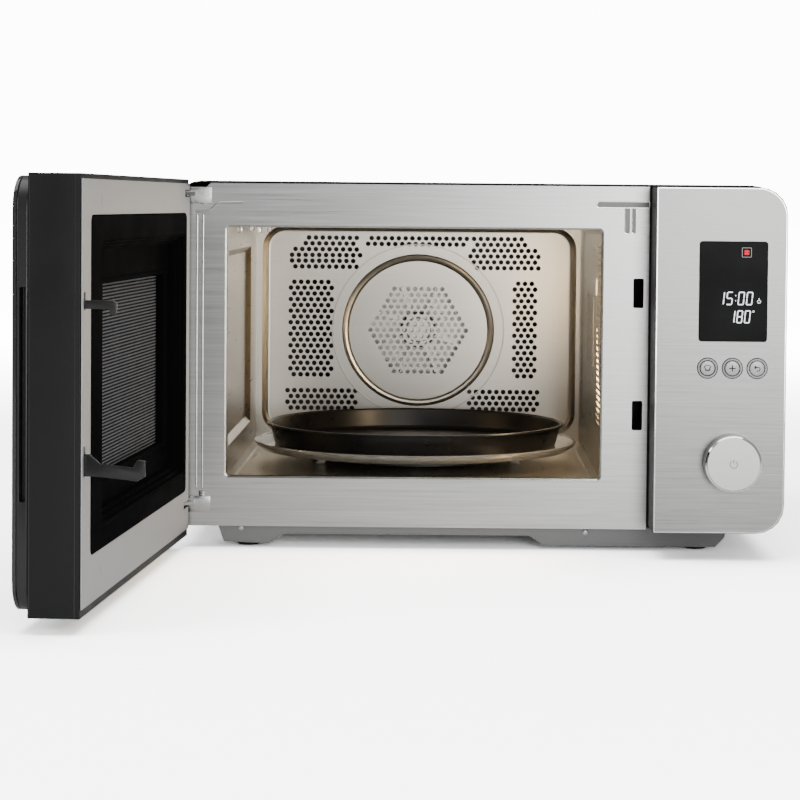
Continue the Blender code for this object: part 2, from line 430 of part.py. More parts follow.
join(knob, rod("knob_face", (KNOB_Z, CTRL_X), KNOB_R - 0.0014, KNOB_BACK - KNOB_H, KNOB_BACK - 0.004, "Y", 48))
cut(knob, rod("knob_bore", (KNOB_Z, CTRL_X), 0.0036, KNOB_BACK - 0.0085, KNOB_BACK + 0.01, "Y", 20))

# Hinges: two brackets on the frame, each with an arm into the door and a pin on the axis.
ARM_T, PIN_R, PIN_L = 0.004, 0.003, 0.016
for name, z, way in (("upper", TOP - 0.010, -1), ("lower", BASE_Z + 0.022, 1)):
    z0, z1 = z - ARM_T / 2, z + ARM_T / 2
    arm = prism(f"hinge_bracket_{name}", [(HINGE_X - 0.005, HINGE_Y - 0.004), (HINGE_X + 0.004, HINGE_Y - 0.004),
                (HINGE_X + 0.016, -GAP), (HINGE_X + 0.004, -GAP), (HINGE_X - 0.005, HINGE_Y + 0.004)], z0, z1, "Z")
    join(arm, box(f"hinge_leaf_{name}", HINGE_X + 0.004, HINGE_X + 0.030, -0.0016, -GAP, z - 0.009, z + 0.006))
    join(arm, rod(f"hinge_pin_{name}", (HINGE_X, HINGE_Y), PIN_R, min(z, z + way * PIN_L), max(z, z + way * PIN_L), "Z", 20))

# Door: built shut in its own space about the hinge axis, then turned open.
door = frame_empty("door_axis", (HINGE_X, HINGE_Y, 0))
IN_Y, OUT_Y = HINGE_DEEP, HINGE_DEEP - DOOR_T
X0, X1 = -HINGE_IN, DOOR_L
STEEL = 0.0010
steel = face_plate("door_panel", X0 + 0.0015, X1 - 0.0008, BASE_Z - 0.0013, TOP - 0.0010, IN_Y - STEEL, IN_Y, parent=door)
CH = (0.013, X1 - 0.029, BASE_Z + 0.035, TOP - 0.028)
cut(steel, face_plate("panel_window", CH[0], CH[1], CH[2], CH[3], 0, 0.02, [0.006] * 4, parent=door))
shell_y0, shell_y1 = OUT_Y + 0.0120, IN_Y - STEEL - GAP
shell = box("door_frame", X0, X1, shell_y0, shell_y1, DOOR_Z0, DOOR_Z1, parent=door)
cut(shell, box("door_hollow", X0 + 0.010, X1 - 0.003, shell_y0 + 0.0025, 0.02, DOOR_Z0 + 0.013, DOOR_Z1 - 0.012, parent=door))
SX0 = 0.046
SX1 = SX0 + SCREEN_W
cut(shell, box("door_opening", SX0, SX1, -0.06, 0, SCREEN_Z, SCREEN_Z + SCREEN_H, parent=door))
RRD = [0.025] * 4
trim = face_plate("door_fascia", X0, X1, DOOR_Z0 + 0.0025, DOOR_Z1 - 0.0018, OUT_Y + 0.0032 + GAP, shell_y0 - GAP, RRD,
                  parent=door)
cut(trim, box("trim_opening", SX0, SX1, -0.06, 0, SCREEN_Z, SCREEN_Z + SCREEN_H, parent=door))
grip = box("grip_channel", X1 - 0.010, X1 + 0.01, OUT_Y + 0.0032 + 0.0024, shell_y0 - 0.0020, BASE_Z + 0.079, TOP - 0.082, parent=door)
cut(trim, grip)
face_plate("door_glass", X0, X1, DOOR_Z0 + 0.0025, DOOR_Z1 - 0.0018, OUT_Y, OUT_Y + 0.0032, RRD, parent=door)
choke_y0 = IN_Y - 0.0215
choke = face_plate("choke_cover", CH[0] + GAP, CH[1] - GAP, CH[2] + GAP, CH[3] - GAP, choke_y0, IN_Y + 0.0008,
                   [0.0056] * 4, parent=door)
cut(choke, box("choke_recess", 0.020, X1 - 0.068, IN_Y - 0.0145, 0.03, BASE_Z + 0.054, TOP - 0.0495, parent=door))
cut(choke, box("choke_window", SX0, SX1, -0.03, 0.03, SCREEN_Z, SCREEN_Z + SCREEN_H, parent=door))
cut(choke, face_plate("choke_groove", CH[0] + 0.004, CH[1] - 0.004, CH[2] + 0.004, CH[3] - 0.004, -0.03, IN_Y - 0.0160,
                      parent=door))
join(choke, face_plate("choke_seat", SX0 - 0.006, SX1 + 0.006, SCREEN_Z - 0.006, SCREEN_Z + SCREEN_H + 0.006,
                       choke_y0, IN_Y - 0.0150, parent=door))
cut(choke, box("choke_window_2", SX0, SX1, -0.03, 0.03, SCREEN_Z, SCREEN_Z + SCREEN_H, parent=door))
face_plate("door_screen", SX0 - 0.012, SX1 + 0.012, SCREEN_Z - 0.012, SCREEN_Z + SCREEN_H + 0.012,
           choke_y0 - GAP - 0.0008, choke_y0 - GAP, parent=door)
HX0 = X1 - 0.0110
HX1 = HX0 + HOOK_T
SLIDE = 0.005
for name, z, h in (("upper", HOOK_UP_Z, 0.0065), ("lower", HOOK_LOW_Z, 0.0165)):
    cut(steel, box(f"hook_slot_{name}", HX0 - 0.0012, HX1 + 0.0012, 0, 0.02, z - 0.0008, z + h + SLIDE + 0.0008, parent=door))
for name, z, way in (("upper", TOP - 0.010, -1), ("lower", BASE_Z + 0.022, 1)):
    for piece in (steel, shell):
        cut(piece, rod(f"hinge_pocket_{piece.name}_{name}", (0, 0), 0.0215, z - 0.0032, z + 0.0032, "Z", 40, parent=door))
    lo, hi = sorted((z, z + way * (PIN_L + 0.0012)))
    cut(shell, rod(f"pin_hole_{name}", (0, 0), PIN_R + GAP, lo, hi, "Z", 20, parent=door))
slide = box("latch_slide", HX0 - 0.006, HX1 + 0.003, IN_Y - 0.0110, IN_Y - 0.0040, HOOK_LOW_Z - 0.012, HOOK_UP_Z + 0.016,
            parent=door, at=(HX0, IN_Y, HOOK_LOW_Z))
REACH_UP, REACH_LOW = 0.0245, 0.046
for name, side in (("upper", [(IN_Y - 0.006, HOOK_UP_Z), (IN_Y + REACH_UP - 0.006, HOOK_UP_Z),
                              (IN_Y + REACH_UP - 0.005, HOOK_UP_Z - 0.0045), (IN_Y + REACH_UP - 0.001, HOOK_UP_Z - 0.0040),
                              (IN_Y + REACH_UP, HOOK_UP_Z + 0.004), (IN_Y + REACH_UP - 0.003, HOOK_UP_Z + 0.0065),
                              (IN_Y - 0.006, HOOK_UP_Z + 0.0065)]),
                   ("lower", [(IN_Y - 0.006, HOOK_LOW_Z), (IN_Y + 0.010, HOOK_LOW_Z - 0.0002),
                              (IN_Y + REACH_LOW - 0.006, HOOK_LOW_Z - 0.0030), (IN_Y + REACH_LOW, HOOK_LOW_Z + 0.0005),
                              (IN_Y + REACH_LOW, HOOK_LOW_Z + 0.0125), (IN_Y + REACH_LOW - 0.006, HOOK_LOW_Z + 0.0130),
                              (IN_Y + REACH_LOW - 0.009, HOOK_LOW_Z + 0.0070), (IN_Y + 0.012, HOOK_LOW_Z + 0.0095),
                              (IN_Y + 0.004, HOOK_LOW_Z + 0.0165), (IN_Y - 0.006, HOOK_LOW_Z + 0.0165)])):
    join(slide, prism(f"hook_{name}", side, HX0, HX1, "X", parent=door))
door.rotation_euler = (0, 0, -math.radians(DOOR_OPEN))

# Each piece gets its own plain material.
COLOURS = {"casing": (0.03, 0.03, 0.03), "frame": (0.55, 0.55, 0.55), "cavity": (0.5, 0.48, 0.44), "glass": (0.1, 0.1, 0.11),
           "fascia": (0.6, 0.6, 0.6), "knob": (0.65, 0.65, 0.65), "button": (0.6, 0.6, 0.62), "board": (0.05, 0.25, 0.1),
           "door_panel": (0.6, 0.6, 0.6), "door_frame": (0.04, 0.04, 0.04), "door_fascia": (0.05, 0.05, 0.05),
           "hinge": (0.6, 0.6, 0.6), "base": (0.2, 0.2, 0.2), "motor": (0.4, 0.38, 0.35), "foot": (0.04, 0.04, 0.04)}
for item in list(bpy.data.objects):
    if item.type in ("MESH", "CURVE") and not item.hide_render:
        paint = bpy.data.materials.new(item.name + "_material")
        paint.use_nodes = True
        tint = (0.3, 0.3, 0.3)
        for word, colour in COLOURS.items():
            if word in item.name:
                tint = colour
        paint.node_tree.nodes["Principled BSDF"].inputs["Base Color"].default_value = (*tint, 1)
        item.data.materials.append(paint)

# The origin goes under the middle of the whole object, door open, on the table.
bpy.context.view_layer.update()
graph = bpy.context.evaluated_depsgraph_get()
corners = []
for item in bpy.data.objects:
    if item.type in ("MESH", "CURVE") and not item.hide_render:
        seen = item.evaluated_get(graph)
        mesh = seen.to_mesh()
        corners += [seen.matrix_world @ v.co for v in mesh.vertices]
        seen.to_mesh_clear()
low = [min(c[i] for c in corners) for i in range(3)]
high = [max(c[i] for c in corners) for i in range(3)]
root.location = (-(low[0] + high[0]) / 2, -(low[1] + high[1]) / 2, -low[2])
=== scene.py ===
import json
import math

import bmesh
import bpy
from mathutils import Matrix, Vector


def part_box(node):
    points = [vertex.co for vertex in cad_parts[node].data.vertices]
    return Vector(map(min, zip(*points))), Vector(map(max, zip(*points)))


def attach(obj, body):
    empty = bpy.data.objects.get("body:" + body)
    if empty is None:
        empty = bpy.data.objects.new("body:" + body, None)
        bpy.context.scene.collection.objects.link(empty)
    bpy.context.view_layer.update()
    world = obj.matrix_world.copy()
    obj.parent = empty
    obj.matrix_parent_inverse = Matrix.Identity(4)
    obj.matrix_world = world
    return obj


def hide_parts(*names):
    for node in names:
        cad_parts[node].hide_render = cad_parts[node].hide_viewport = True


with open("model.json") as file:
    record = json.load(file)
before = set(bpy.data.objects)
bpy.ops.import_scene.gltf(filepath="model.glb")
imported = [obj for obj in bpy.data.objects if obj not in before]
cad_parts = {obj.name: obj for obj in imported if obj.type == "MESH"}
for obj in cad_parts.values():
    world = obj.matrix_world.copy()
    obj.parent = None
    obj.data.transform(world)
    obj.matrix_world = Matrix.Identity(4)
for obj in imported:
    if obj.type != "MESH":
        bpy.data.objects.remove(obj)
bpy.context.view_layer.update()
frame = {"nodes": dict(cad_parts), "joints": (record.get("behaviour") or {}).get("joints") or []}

# ---------------------------------------------------------------------------
# Camera and place of the body. The body's own middle is X = 0, the steel face is
# Y = 0 and the table is Z = 0; body_seat carries that into the frame's space.
case_low, case_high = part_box("outer_casing")
face_low, face_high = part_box("front_frame")
body_seat = Matrix.Translation(((case_low[0] + case_high[0]) / 2, face_low[1], 0))
camera_data = bpy.data.cameras.new("studio_camera")
camera_data.lens = 104.0
camera_data.sensor_width = 36.0
camera_data.shift_x = -0.055
camera_data.shift_y = -0.135
camera_data.clip_end = 50
camera = bpy.data.objects.new("studio_camera", camera_data)
LOOK_DOWN, LOOK_LEFT = math.radians(2.2), math.radians(0.52)
camera.matrix_world = (body_seat @ Matrix.Translation((-0.0298, -2.157, 0.325))
                       @ Matrix.Rotation(math.radians(90) - LOOK_DOWN, 4, "X") @ Matrix.Rotation(LOOK_LEFT, 4, "Z"))
bpy.context.collection.objects.link(camera)
bpy.context.scene.camera = camera


# ---------------------------------------------------------------------------
# Outer casing: one wrap of 1.2 mm sheet, powder-coated black after it is bent and
# punched, held to the rear panel by screws.
def linear(hex_colour):
    """An sRGB hex colour as linear RGBA."""
    parts = [int(hex_colour[k:k + 2], 16) / 255 for k in (1, 3, 5)]
    return tuple(c / 12.92 if c <= 0.04045 else ((c + 0.055) / 1.055) ** 2.4 for c in parts) + (1.0,)


def fill_inputs(finish, node, inputs):
    """Links or fills a node's inputs."""
    for key, value in inputs.items():
        if isinstance(value, bpy.types.NodeSocket):
            finish.node_tree.links.new(value, node.inputs[key])
        else:
            node.inputs[key].default_value = value


def add_node(finish, kind, inputs=None, **settings):
    """Adds a shader node to a finish, sets it and fills its inputs."""
    made = finish.node_tree.nodes.new(kind)
    for key, value in settings.items():
        setattr(made, key, value)
    fill_inputs(finish, made, inputs or {})
    return made


def maths(finish, operation, *values):
    """The result of a Math node on sockets or numbers."""
    return add_node(finish, "ShaderNodeMath", dict(enumerate(values)), operation=operation).outputs[0]


def surface_of(finish, **inputs):
    """Fills or links the sockets of the finish's own shader."""
    shader = finish.node_tree.nodes["Principled BSDF"]
    fill_inputs(finish, shader, {key.replace("_", " "): value for key, value in inputs.items()})
    return finish


def new_finish(name):
    finish = bpy.data.materials.new(name)
    finish.use_nodes = True
    return finish


def grain(finish, stretch, detail=2.0, rough=0.5):
    """Noise on Object coordinates, with a scale along each axis in features per metre."""
    coords = add_node(finish, "ShaderNodeTexCoord")
    fitted = add_node(finish, "ShaderNodeMapping", {"Vector": coords.outputs["Object"], "Scale": stretch})
    return add_node(finish, "ShaderNodeTexNoise", {"Vector": fitted.outputs[0], "Scale": 1.0, "Detail": detail,
                                                   "Roughness": rough}).outputs[0]


def between(finish, factor, low, high):
    """A value or colour spread between two ends by a noise factor."""
    if isinstance(low, str):
        ramp = add_node(finish, "ShaderNodeMix", {"Factor": factor}, data_type="RGBA")
        ramp.inputs[6].default_value, ramp.inputs[7].default_value = linear(low), linear(high)
        return ramp.outputs[2]
    span = add_node(finish, "ShaderNodeMapRange", {"Value": factor, "From Min": 0.3, "From Max": 0.7,
                                                   "To Min": low, "To Max": high})
    return span.outputs[0]


def relief(finish, height, depth, strength=1.0):
    return add_node(finish, "ShaderNodeBump", {"Height": height, "Distance": depth, "Strength": strength}).outputs[0]


def clouded(finish, noise, low, high, smooth, dull, **more):
    """Colour and roughness that drift together with a noise, and any other inputs."""
    return surface_of(finish, Base_Color=between(finish, noise, low, high),
                      Roughness=between(finish, noise, smooth, dull), **more)


def powder_coat(name, low, high, gloss=0.42):
    # Powder coat: an orange-peel skin of about 1 mm that softens every highlight.
    finish = new_finish(name)
    peel = grain(finish, (900, 900, 900), 2)
    cloud = grain(finish, (14, 14, 14), 3)
    return clouded(finish, cloud, low, high, gloss - 0.05, gloss + 0.08,
                   Normal=relief(finish, peel, 0.00025, 0.35), Metallic=0.0, IOR=1.5)


def finish_piece(mesh_work, name, body, finish, place=None, stands_for=(), turn_out=True):
    """Closes a bmesh into a piece at the origin, with its place in its mesh, riding on a body."""
    if turn_out:
        bmesh.ops.recalc_face_normals(mesh_work, faces=mesh_work.faces[:])
    if place is not None:
        mesh_work.transform(place)
    mesh = bpy.data.meshes.new(name)
    mesh_work.to_mesh(mesh)
    mesh_work.free()
    mesh.materials.append(finish)
    piece = bpy.data.objects.new(name, mesh)
    bpy.context.collection.objects.link(piece)
    mesh.set_sharp_from_angle(angle=math.radians(20))
    for face in mesh.polygons:
        face.use_smooth = True
    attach(piece, body)
    if stands_for:
        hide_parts(*stands_for)
    return piece


def eased(work, width, segments=2, flat=0.5):
    """Merges faces within a flat angle in degrees, then bevels every edge over 32 degrees."""
    bmesh.ops.dissolve_limit(work, angle_limit=math.radians(flat), verts=work.verts[:], edges=work.edges[:])
    sharp = [e for e in work.edges if e.is_manifold and e.calc_face_angle(0) > math.radians(32)]
    bmesh.ops.bevel(work, geom=sharp, offset=width, offset_type="OFFSET", affect="EDGES", segments=segments,
                    profile=0.5, material=-1, clamp_overlap=True)
    return work


def eased_copy(node, body, width, finish, segments=2):
    """The CAD shape of a node with its edges eased by a small bevel."""
    work = bmesh.new()
    source = frame["nodes"][node]
    work.from_mesh(source.data)
    work.transform(source.matrix_world)
    bmesh.ops.remove_doubles(work, verts=work.verts[:], dist=0.00002)
    eased(work, width, segments, 0.6)
    return finish_piece(work, node + "_shaped", body, finish, stands_for=(node,), turn_out=False)


casing_black = powder_coat("powder_coat_black", "#0d0d0e", "#131314")
eased_copy("outer_casing", "oven_body", 0.0003, casing_black, 1)
body_d = case_high[1] - face_low[1]
base_z, frame_top = face_low[2], face_high[2]


def spin_line(work, points, axis, steps, closed=False):
    """Spins a line of points about an axis through the origin, without edges that lie on it."""
    line = [work.verts.new(p) for p in points]
    pairs = zip(line, line[1:] + line[:1] if closed else line[1:])
    edges = [work.edges.new(pair) for pair in pairs if max(v.co.x for v in pair) > 1e-7]
    bmesh.ops.spin(work, geom=line + edges, cent=(0, 0, 0), axis=axis, angle=math.tau, steps=steps, use_merge=True)


def screw_heads(name, body, seats, axis, radius, finish, place=None):
    """Pan-head screws with a round recess, one piece for a row of them."""
    work = bmesh.new()
    ring = ((1, 0.0), (0.96, 0.3), (0.7, 0.5), (0.34, 0.58), (0.30, 0.2), (0.0, 0.16))
    for seat in seats:
        turn = Matrix.Translation(seat) @ Vector((0, 0, 1)).rotation_difference(Vector(axis)).to_matrix().to_4x4()
        spin_line(work, [(r * radius, 0, h * radius) for r, h in ring], (0, 0, 1), 16)
        fresh = [v for v in work.verts if not v.tag]
        bmesh.ops.transform(work, matrix=turn, verts=fresh)
        for v in work.verts:
            v.tag = True
    bmesh.ops.remove_doubles(work, verts=work.verts[:], dist=0.00001)
    return finish_piece(work, name, body, finish, place=place)


# Zinc-plated steel: a cold grey plate with faint clouds, used inside and for screws.
def plated_steel(name, low, high, rough=0.32):
    finish = new_finish(name)
    cloud = grain(finish, (60, 60, 60), 4)
    return clouded(finish, cloud, low, high, rough - 0.06, rough + 0.1, Metallic=1.0,
                   Normal=relief(finish, cloud, 0.00008, 0.3))


zinc = plated_steel("zinc_plated_steel", "#a9abad", "#c2c3c4")

# ---------------------------------------------------------------------------
# Rear panel: a plated sheet painted dark, punched with an air outlet over the fan,
# stiffened by four pressed ribs, with a gland where the mains lead would enter.
rear_paint = powder_coat("rear_panel_paint", "#3a3b3c", "#454647", 0.5)
eased_copy("rear_panel", "oven_body", 0.0003, rear_paint, 1)
eased_copy("power_inlet", "oven_body", 0.0008, powder_coat("gland_nylon", "#202020", "#2a2a2a", 0.5))
rear_y = body_d - 0.0028


def block(work, centre, size):
    """A box round a centre."""
    bmesh.ops.create_cube(work, size=1, matrix=Matrix.Translation(centre) @ Matrix.Diagonal((*size, 1)))


def soften(work, width, segments=2):
    """Bevels every edge."""
    bmesh.ops.bevel(work, geom=work.edges[:], offset=width, offset_type="OFFSET", affect="EDGES", segments=segments,
                    profile=0.5, material=-1)


rib = bmesh.new()
for z in (0.085, 0.150, 0.215, 0.280):
    block(rib, (-0.09, rear_y + 0.0008, z), (0.30, 0.0016, 0.010))
soften(rib, 0.0007)
finish_piece(rib, "rear_panel_ribs", "oven_body", rear_paint, body_seat)
rear_seats = [(x, rear_y, z) for x in (-0.255, -0.085, 0.085, 0.255) for z in (0.046, 0.322)]
screw_heads("rear_screws", "oven_body", rear_seats, (0, 1, 0), 0.0036, zinc, body_seat)

# ---------------------------------------------------------------------------
# Base: a grey painted tray with two deep pods, four rubber feet, and screws that
# hold the front frame's lower edge.
base_grey = powder_coat("base_grey_enamel", "#7a7b7b", "#848585", 0.45)
eased_copy("base_pan", "oven_body", 0.0012, base_grey, 3)


def moulded(name, low, high, rough=0.5, texture=1100, depth=0.00012):
    # Injection-moulded plastic or rubber: fine spark-eroded texture from the tool.
    finish = new_finish(name)
    spark = grain(finish, (texture,) * 3, 2)
    wear = grain(finish, (22, 22, 22), 3)
    return clouded(finish, wear, low, high, rough - 0.06, rough + 0.06, Normal=relief(finish, spark, depth, 0.5),
                   IOR=1.5)


rubber = moulded("foot_rubber", "#161616", "#1e1e1e", 0.75, 900, 0.0002)
for end in ("front_left", "front_right", "rear_left", "rear_right"):
    eased_copy("foot_" + end, "oven_body", 0.0006, rubber)
skirt_seats = [(-0.219, 0.0078, 0.0180), (0.105, 0.0078, 0.0165)]
screw_heads("skirt_screws", "oven_body", skirt_seats, (0, -1, 0), 0.0028, zinc, body_seat)

# ---------------------------------------------------------------------------
# Front frame: brushed stainless sheet with three pressed grooves at the latch side, two
# latch slots, an S-shaped bead at the hinge and a folded rim round the opening.
cav_low, cav_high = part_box("oven_cavity")
cover_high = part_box("waveguide_cover")[1]
mid_x = (case_low[0] + case_high[0]) / 2
SHEET = 0.0012
open_x1 = cover_high[0] - mid_x + 0.0004
open_w, open_h, cavity_d = 0.3527, 0.2358, cav_high[1] - face_low[1] - SHEET
open_x0 = open_x1 - open_w
open_z0 = cav_low[2] + 0.010
open_z1 = open_z0 + open_h
frame_x0, frame_x1 = face_low[0] - mid_x, face_high[0] - mid_x


def brushed_steel(name, low, high, along="X", rough=0.30, lines=750.0, depth=0.00002, spread=0.06):
    # Stainless steel drawn over a belt: scratches about a millimetre apart, coarser than
    # real ones so that they still show, that run one way and stretch highlights.
    finish = new_finish(name)
    stretch = {"X": (22, lines, lines), "Z": (lines, lines, 22), "Y": (lines, 22, lines)}[along]
    lines_noise = grain(finish, stretch, 3, 0.6)
    broad = grain(finish, tuple(s * 0.45 for s in stretch), 1)
    mean = maths(finish, "MULTIPLY", maths(finish, "ADD", lines_noise, broad), 0.5)
    return clouded(finish, mean, low, high, rough - spread / 2, rough + spread, Metallic=1.0,
                   Normal=relief(finish, lines_noise, depth, 0.45))


def ring_pairs(work, points):
    """New vertices at points, each paired with the next one round."""
    ring = [work.verts.new(p) for p in points]
    return list(zip(ring, ring[1:] + ring[:1]))


def loop(work, points):
    """A closed loop of edges through points."""
    return [work.edges.new(pair) for pair in ring_pairs(work, points)]


def strip_between(work, loops):
    """Quads between loops that hold the same number of points; returns each loop's edges."""
    rings = [ring_pairs(work, points) for points in loops]
    for first, second in zip(rings, rings[1:]):
        for (a, b), (c, d) in zip(first, second):
            work.faces.new((a, b, d, c))
    return [[work.edges.get(pair) for pair in ring] for ring in rings]


def rounded_loop(x0, x1, z0, z1, radii, y=0.0, steps=6):
    """Points round a rectangle across Y, with one radius or one per corner from low-left, anticlockwise."""
    points = []
    radii = radii if isinstance(radii, list) else [radii] * 4
    for (x, z, start), r in zip(((x0, z0, 180), (x1, z0, 270), (x1, z1, 0), (x0, z1, 90)), radii):
        cx, cz = (x + r if x == x0 else x - r), (z + r if z == z0 else z - r)
        for k in range(steps + 1 if r > 0 else 1):
            t = math.radians(start + 90 * k / steps)
            points.append((cx + r * math.cos(t), y, cz + r * math.sin(t)) if r > 0 else (x, y, z))
    return points


def raise_faces(work, faces, move):
    """Extrudes faces and moves the new ones."""
    made = bmesh.ops.extrude_face_region(work, geom=faces)
    bmesh.ops.translate(work, vec=move, verts=[v for v in made["geom"] if isinstance(v, bmesh.types.BMVert)])


def punched_sheet(loops, thickness):
    """A sheet across Y filled between closed loops, then given its thickness backwards."""
    work = bmesh.new()
    edges = []
    for points in loops:
        edges += loop(work, points)
    bmesh.ops.triangle_fill(work, use_beauty=True, use_dissolve=False, edges=edges, normal=(0, -1, 0))
    raise_faces(work, work.faces[:], (0, thickness, 0))
    bmesh.ops.recalc_face_normals(work, faces=work.faces[:])
    return work


def thicken(work, thickness):
    """Gives an open surface a second skin and closes its edges."""
    bmesh.ops.recalc_face_normals(work, faces=work.faces[:])
    bmesh.ops.solidify(work, geom=work.faces[:], thickness=thickness)


face_steel = brushed_steel("brushed_stainless_face", "#8f8f8e", "#cfcfce", lines=1200)
corner_r = 0.026
slot_x, slot_w, slot_h = frame_x1 - 0.0096, 0.0097, 0.0275
holes = [rounded_loop(open_x0, open_x1, open_z0, open_z1, 0.004)]
holes += [rounded_loop(slot_x - slot_w / 2, slot_x + slot_w / 2, z, z + slot_h, 0.0012, steps=3)
          for z in (0.2288, 0.1143)]
grooves = [rounded_loop(0.1125, frame_x1 - 0.0004, 0.3225, 0.3274, [0.002, 0.0004, 0.0004, 0.002], steps=4)]
grooves += [rounded_loop(x0, x1, 0.2985, 0.3215, [0.0015, 0.0015, 0.0003, 0.0003], steps=4)
            for x0, x1 in ((0.1385, 0.1425), (0.1452, 0.1480))]
outline = [(frame_x0, 0, base_z), (frame_x1, 0, base_z), (frame_x1, 0, frame_top)]
outline += [(-0.2480, 0, frame_top), (-0.2530, 0, 0.3372), (frame_x0, 0, 0.3372)]
face = eased(punched_sheet([outline] + holes + grooves, SHEET), 0.00025, 1)
finish_piece(face, "front_frame_sheet", "oven_body", face_steel, body_seat, ("front_frame",))
# The groove floors are the same steel as the face, painted darker as the shade inside the grooves.
groove_shade_steel = brushed_steel("groove_painted_shade_stainless", "#5a5a59", "#6d6d6c", rough=0.38)
backing = bmesh.new()
for x0, x1, z0, z1 in ((0.1105, frame_x1, 0.3217, 0.3284), (0.1370, 0.1495, 0.2970, 0.3213)):
    block(backing, ((x0 + x1) / 2, 0.00150, (z0 + z1) / 2), (x1 - x0, 0.0005, z1 - z0))
finish_piece(backing, "frame_groove_floor", "oven_body", groove_shade_steel, body_seat)


def rod_along(work, points, radius, sides=10):
    """A round bar through points, closed at both ends."""
    previous = None
    for k, point in enumerate(points):
        here = Vector(point)
        ahead = Vector(points[min(k + 1, len(points) - 1)]) - Vector(points[max(k - 1, 0)])
        turn = Vector((0, 0, 1)).rotation_difference(ahead.normalized()).to_matrix()
        turns = [math.tau * j / sides for j in range(sides)]
        ring = loop(work, [here + turn @ Vector((radius * math.cos(t), radius * math.sin(t), 0)) for t in turns])
        if previous:
            bmesh.ops.bridge_loops(work, edges=previous + ring)
        else:
            bmesh.ops.edgeloop_fill(work, edges=ring)
        previous = ring
    bmesh.ops.edgeloop_fill(work, edges=previous)


bead = bmesh.new()
rod_along(bead, [(-0.2620, 0, 0.3155), (-0.2520, 0, 0.3158), (-0.2465, 0, 0.3180), (-0.2430, 0, 0.3215),
                 (-0.2385, 0, 0.3236), (-0.2185, 0, 0.3240)], 0.0013, 12)
finish_piece(bead, "frame_s_bead", "oven_body", face_steel, body_seat)

# Each groove has a lip where the sheet turns in, painted bright as a highlight.
lips = bmesh.new()
for points in grooves:
    cx, cz = sum(p[0] for p in points) / len(points), sum(p[2] for p in points) / len(points)
    half_x, half_z = max(abs(p[0] - cx) for p in points), max(abs(p[2] - cz) for p in points)
    strip_between(lips, [[(cx + (x - cx) * (1 + grow / half_x), y, cz + (z - cz) * (1 + grow / half_z))
                          for x, _, z in points]
                         for grow, y in ((0.0, 0.0004), (0.0, -0.0001), (0.0006, -0.0002), (0.0008, 0.0001))])
lip_highlight_steel = brushed_steel("groove_lip_painted_highlight", "#d9d9d8", "#e6e6e5", rough=0.2)
finish_piece(lips, "groove_lips", "oven_body", lip_highlight_steel, body_seat)

# The rim round the opening is the cavity's flange rolled over the sheet's edge.
rim_steel = brushed_steel("rolled_rim_steel", "#b5b1a9", "#c8c4bc", rough=0.2)
rim = bmesh.new()


def inset_loop(box, inset, radius, y, steps=6):
    """Points round a box (x0, x1, z0, z1) across Y, moved inwards by an inset."""
    x0, x1, z0, z1 = box
    return rounded_loop(x0 + inset, x1 - inset, z0 + inset, z1 - inset, radius, y, steps)


opening = (open_x0, open_x1, open_z0, open_z1)
strip_between(rim, [inset_loop(opening, *shape) for shape in
                    ((0.0014, 0.003, 0.006), (0.0014, 0.003, -0.0002), (-0.0004, 0.0044, -0.0006),
                     (-0.0004, 0.0044, 0.0002))])
bmesh.ops.solidify(rim, geom=rim.faces[:], thickness=0.0003)
finish_piece(rim, "opening_rim", "oven_body", rim_steel, body_seat)

# ---------------------------------------------------------------------------
# Oven cavity: stainless box with pressed side panels, a lamp grille in the right wall,
# a dished rear wall punched for the convection fan, and a floor with a shallow pressed panel.
def cavity_sheet(name, low, high, along, rough):
    return brushed_steel(name, low, high, along, rough, 900.0, 0.000002, 0.02)


wall_steel = cavity_sheet("cavity_stainless", "#b3ac9e", "#b9b2a4", "Y", 0.28)
rear_steel = cavity_sheet("cavity_rear_stainless", "#a7a49d", "#b0ada6", "X", 0.32)
walls = bmesh.new()
depth0, depth1 = 0.0016, cavity_d
in_x0, in_x1, in_z0, in_z1 = open_x0 + 0.0002, open_x1 - 0.0002, open_z0 + 0.0002, open_z1 - 0.0002


def pressed_wall(work, origin, along, up, out, size, panel, depth, slope, extra=()):
    """A wall from origin, spanned by two directions, with a rectangular panel pressed outwards and extra holes."""
    origin, along, up, out = Vector(origin), Vector(along), Vector(up), Vector(out)

    def at(a, b, d=0.0):
        return origin + along * a + up * b + out * d

    def corners(a0, a1, b0, b1, d=0.0):
        return [at(a0, b0, d), at(a1, b0, d), at(a1, b1, d), at(a0, b1, d)]

    a0, a1, b0, b1 = panel
    edges = strip_between(work, [corners(0, size[0], 0, size[1]), corners(*panel),
                                 corners(a0 + slope, a1 - slope, b0 + slope, b1 - slope, depth)])[-1]
    turns = [math.tau * (k + 0.5) / 8 for k in range(8)]
    for a, b, r in extra:
        edges += loop(work, [at(a + r * math.cos(t), b + r * math.sin(t), depth) for t in turns])
    bmesh.ops.triangle_fill(work, use_beauty=True, use_dissolve=False, edges=edges, normal=out)


wall_len, wall_h = depth1 - depth0, in_z1 - in_z0
pressed_wall(walls, (in_x0, depth0, in_z0), (0, 1, 0), (0, 0, 1), (-1, 0, 0), (wall_len, wall_h),
             (0.022, 0.275, 0.026, wall_h - 0.024), 0.0048, 0.006)
GRILLE_P, GRILLE_R = 0.0058, 0.0021
grille = [(0.024 + GRILLE_P * (c + r % 2 / 2), 0.050 + GRILLE_P * r, GRILLE_R) for r in range(30) for c in range(9)]
pressed_wall(walls, (in_x1, depth0, in_z0), (0, 1, 0), (0, 0, 1), (1, 0, 0), (wall_len, wall_h),
             (0.012, 0.300, 0.030, wall_h - 0.006), 0.0006, 0.002, grille)
pressed_wall(walls, (in_x0, depth0, in_z1), (0, 1, 0), (1, 0, 0), (0, 0, 1), (wall_len, in_x1 - in_x0),
             (0.040, 0.310, 0.030, 0.320), 0.0008, 0.002)
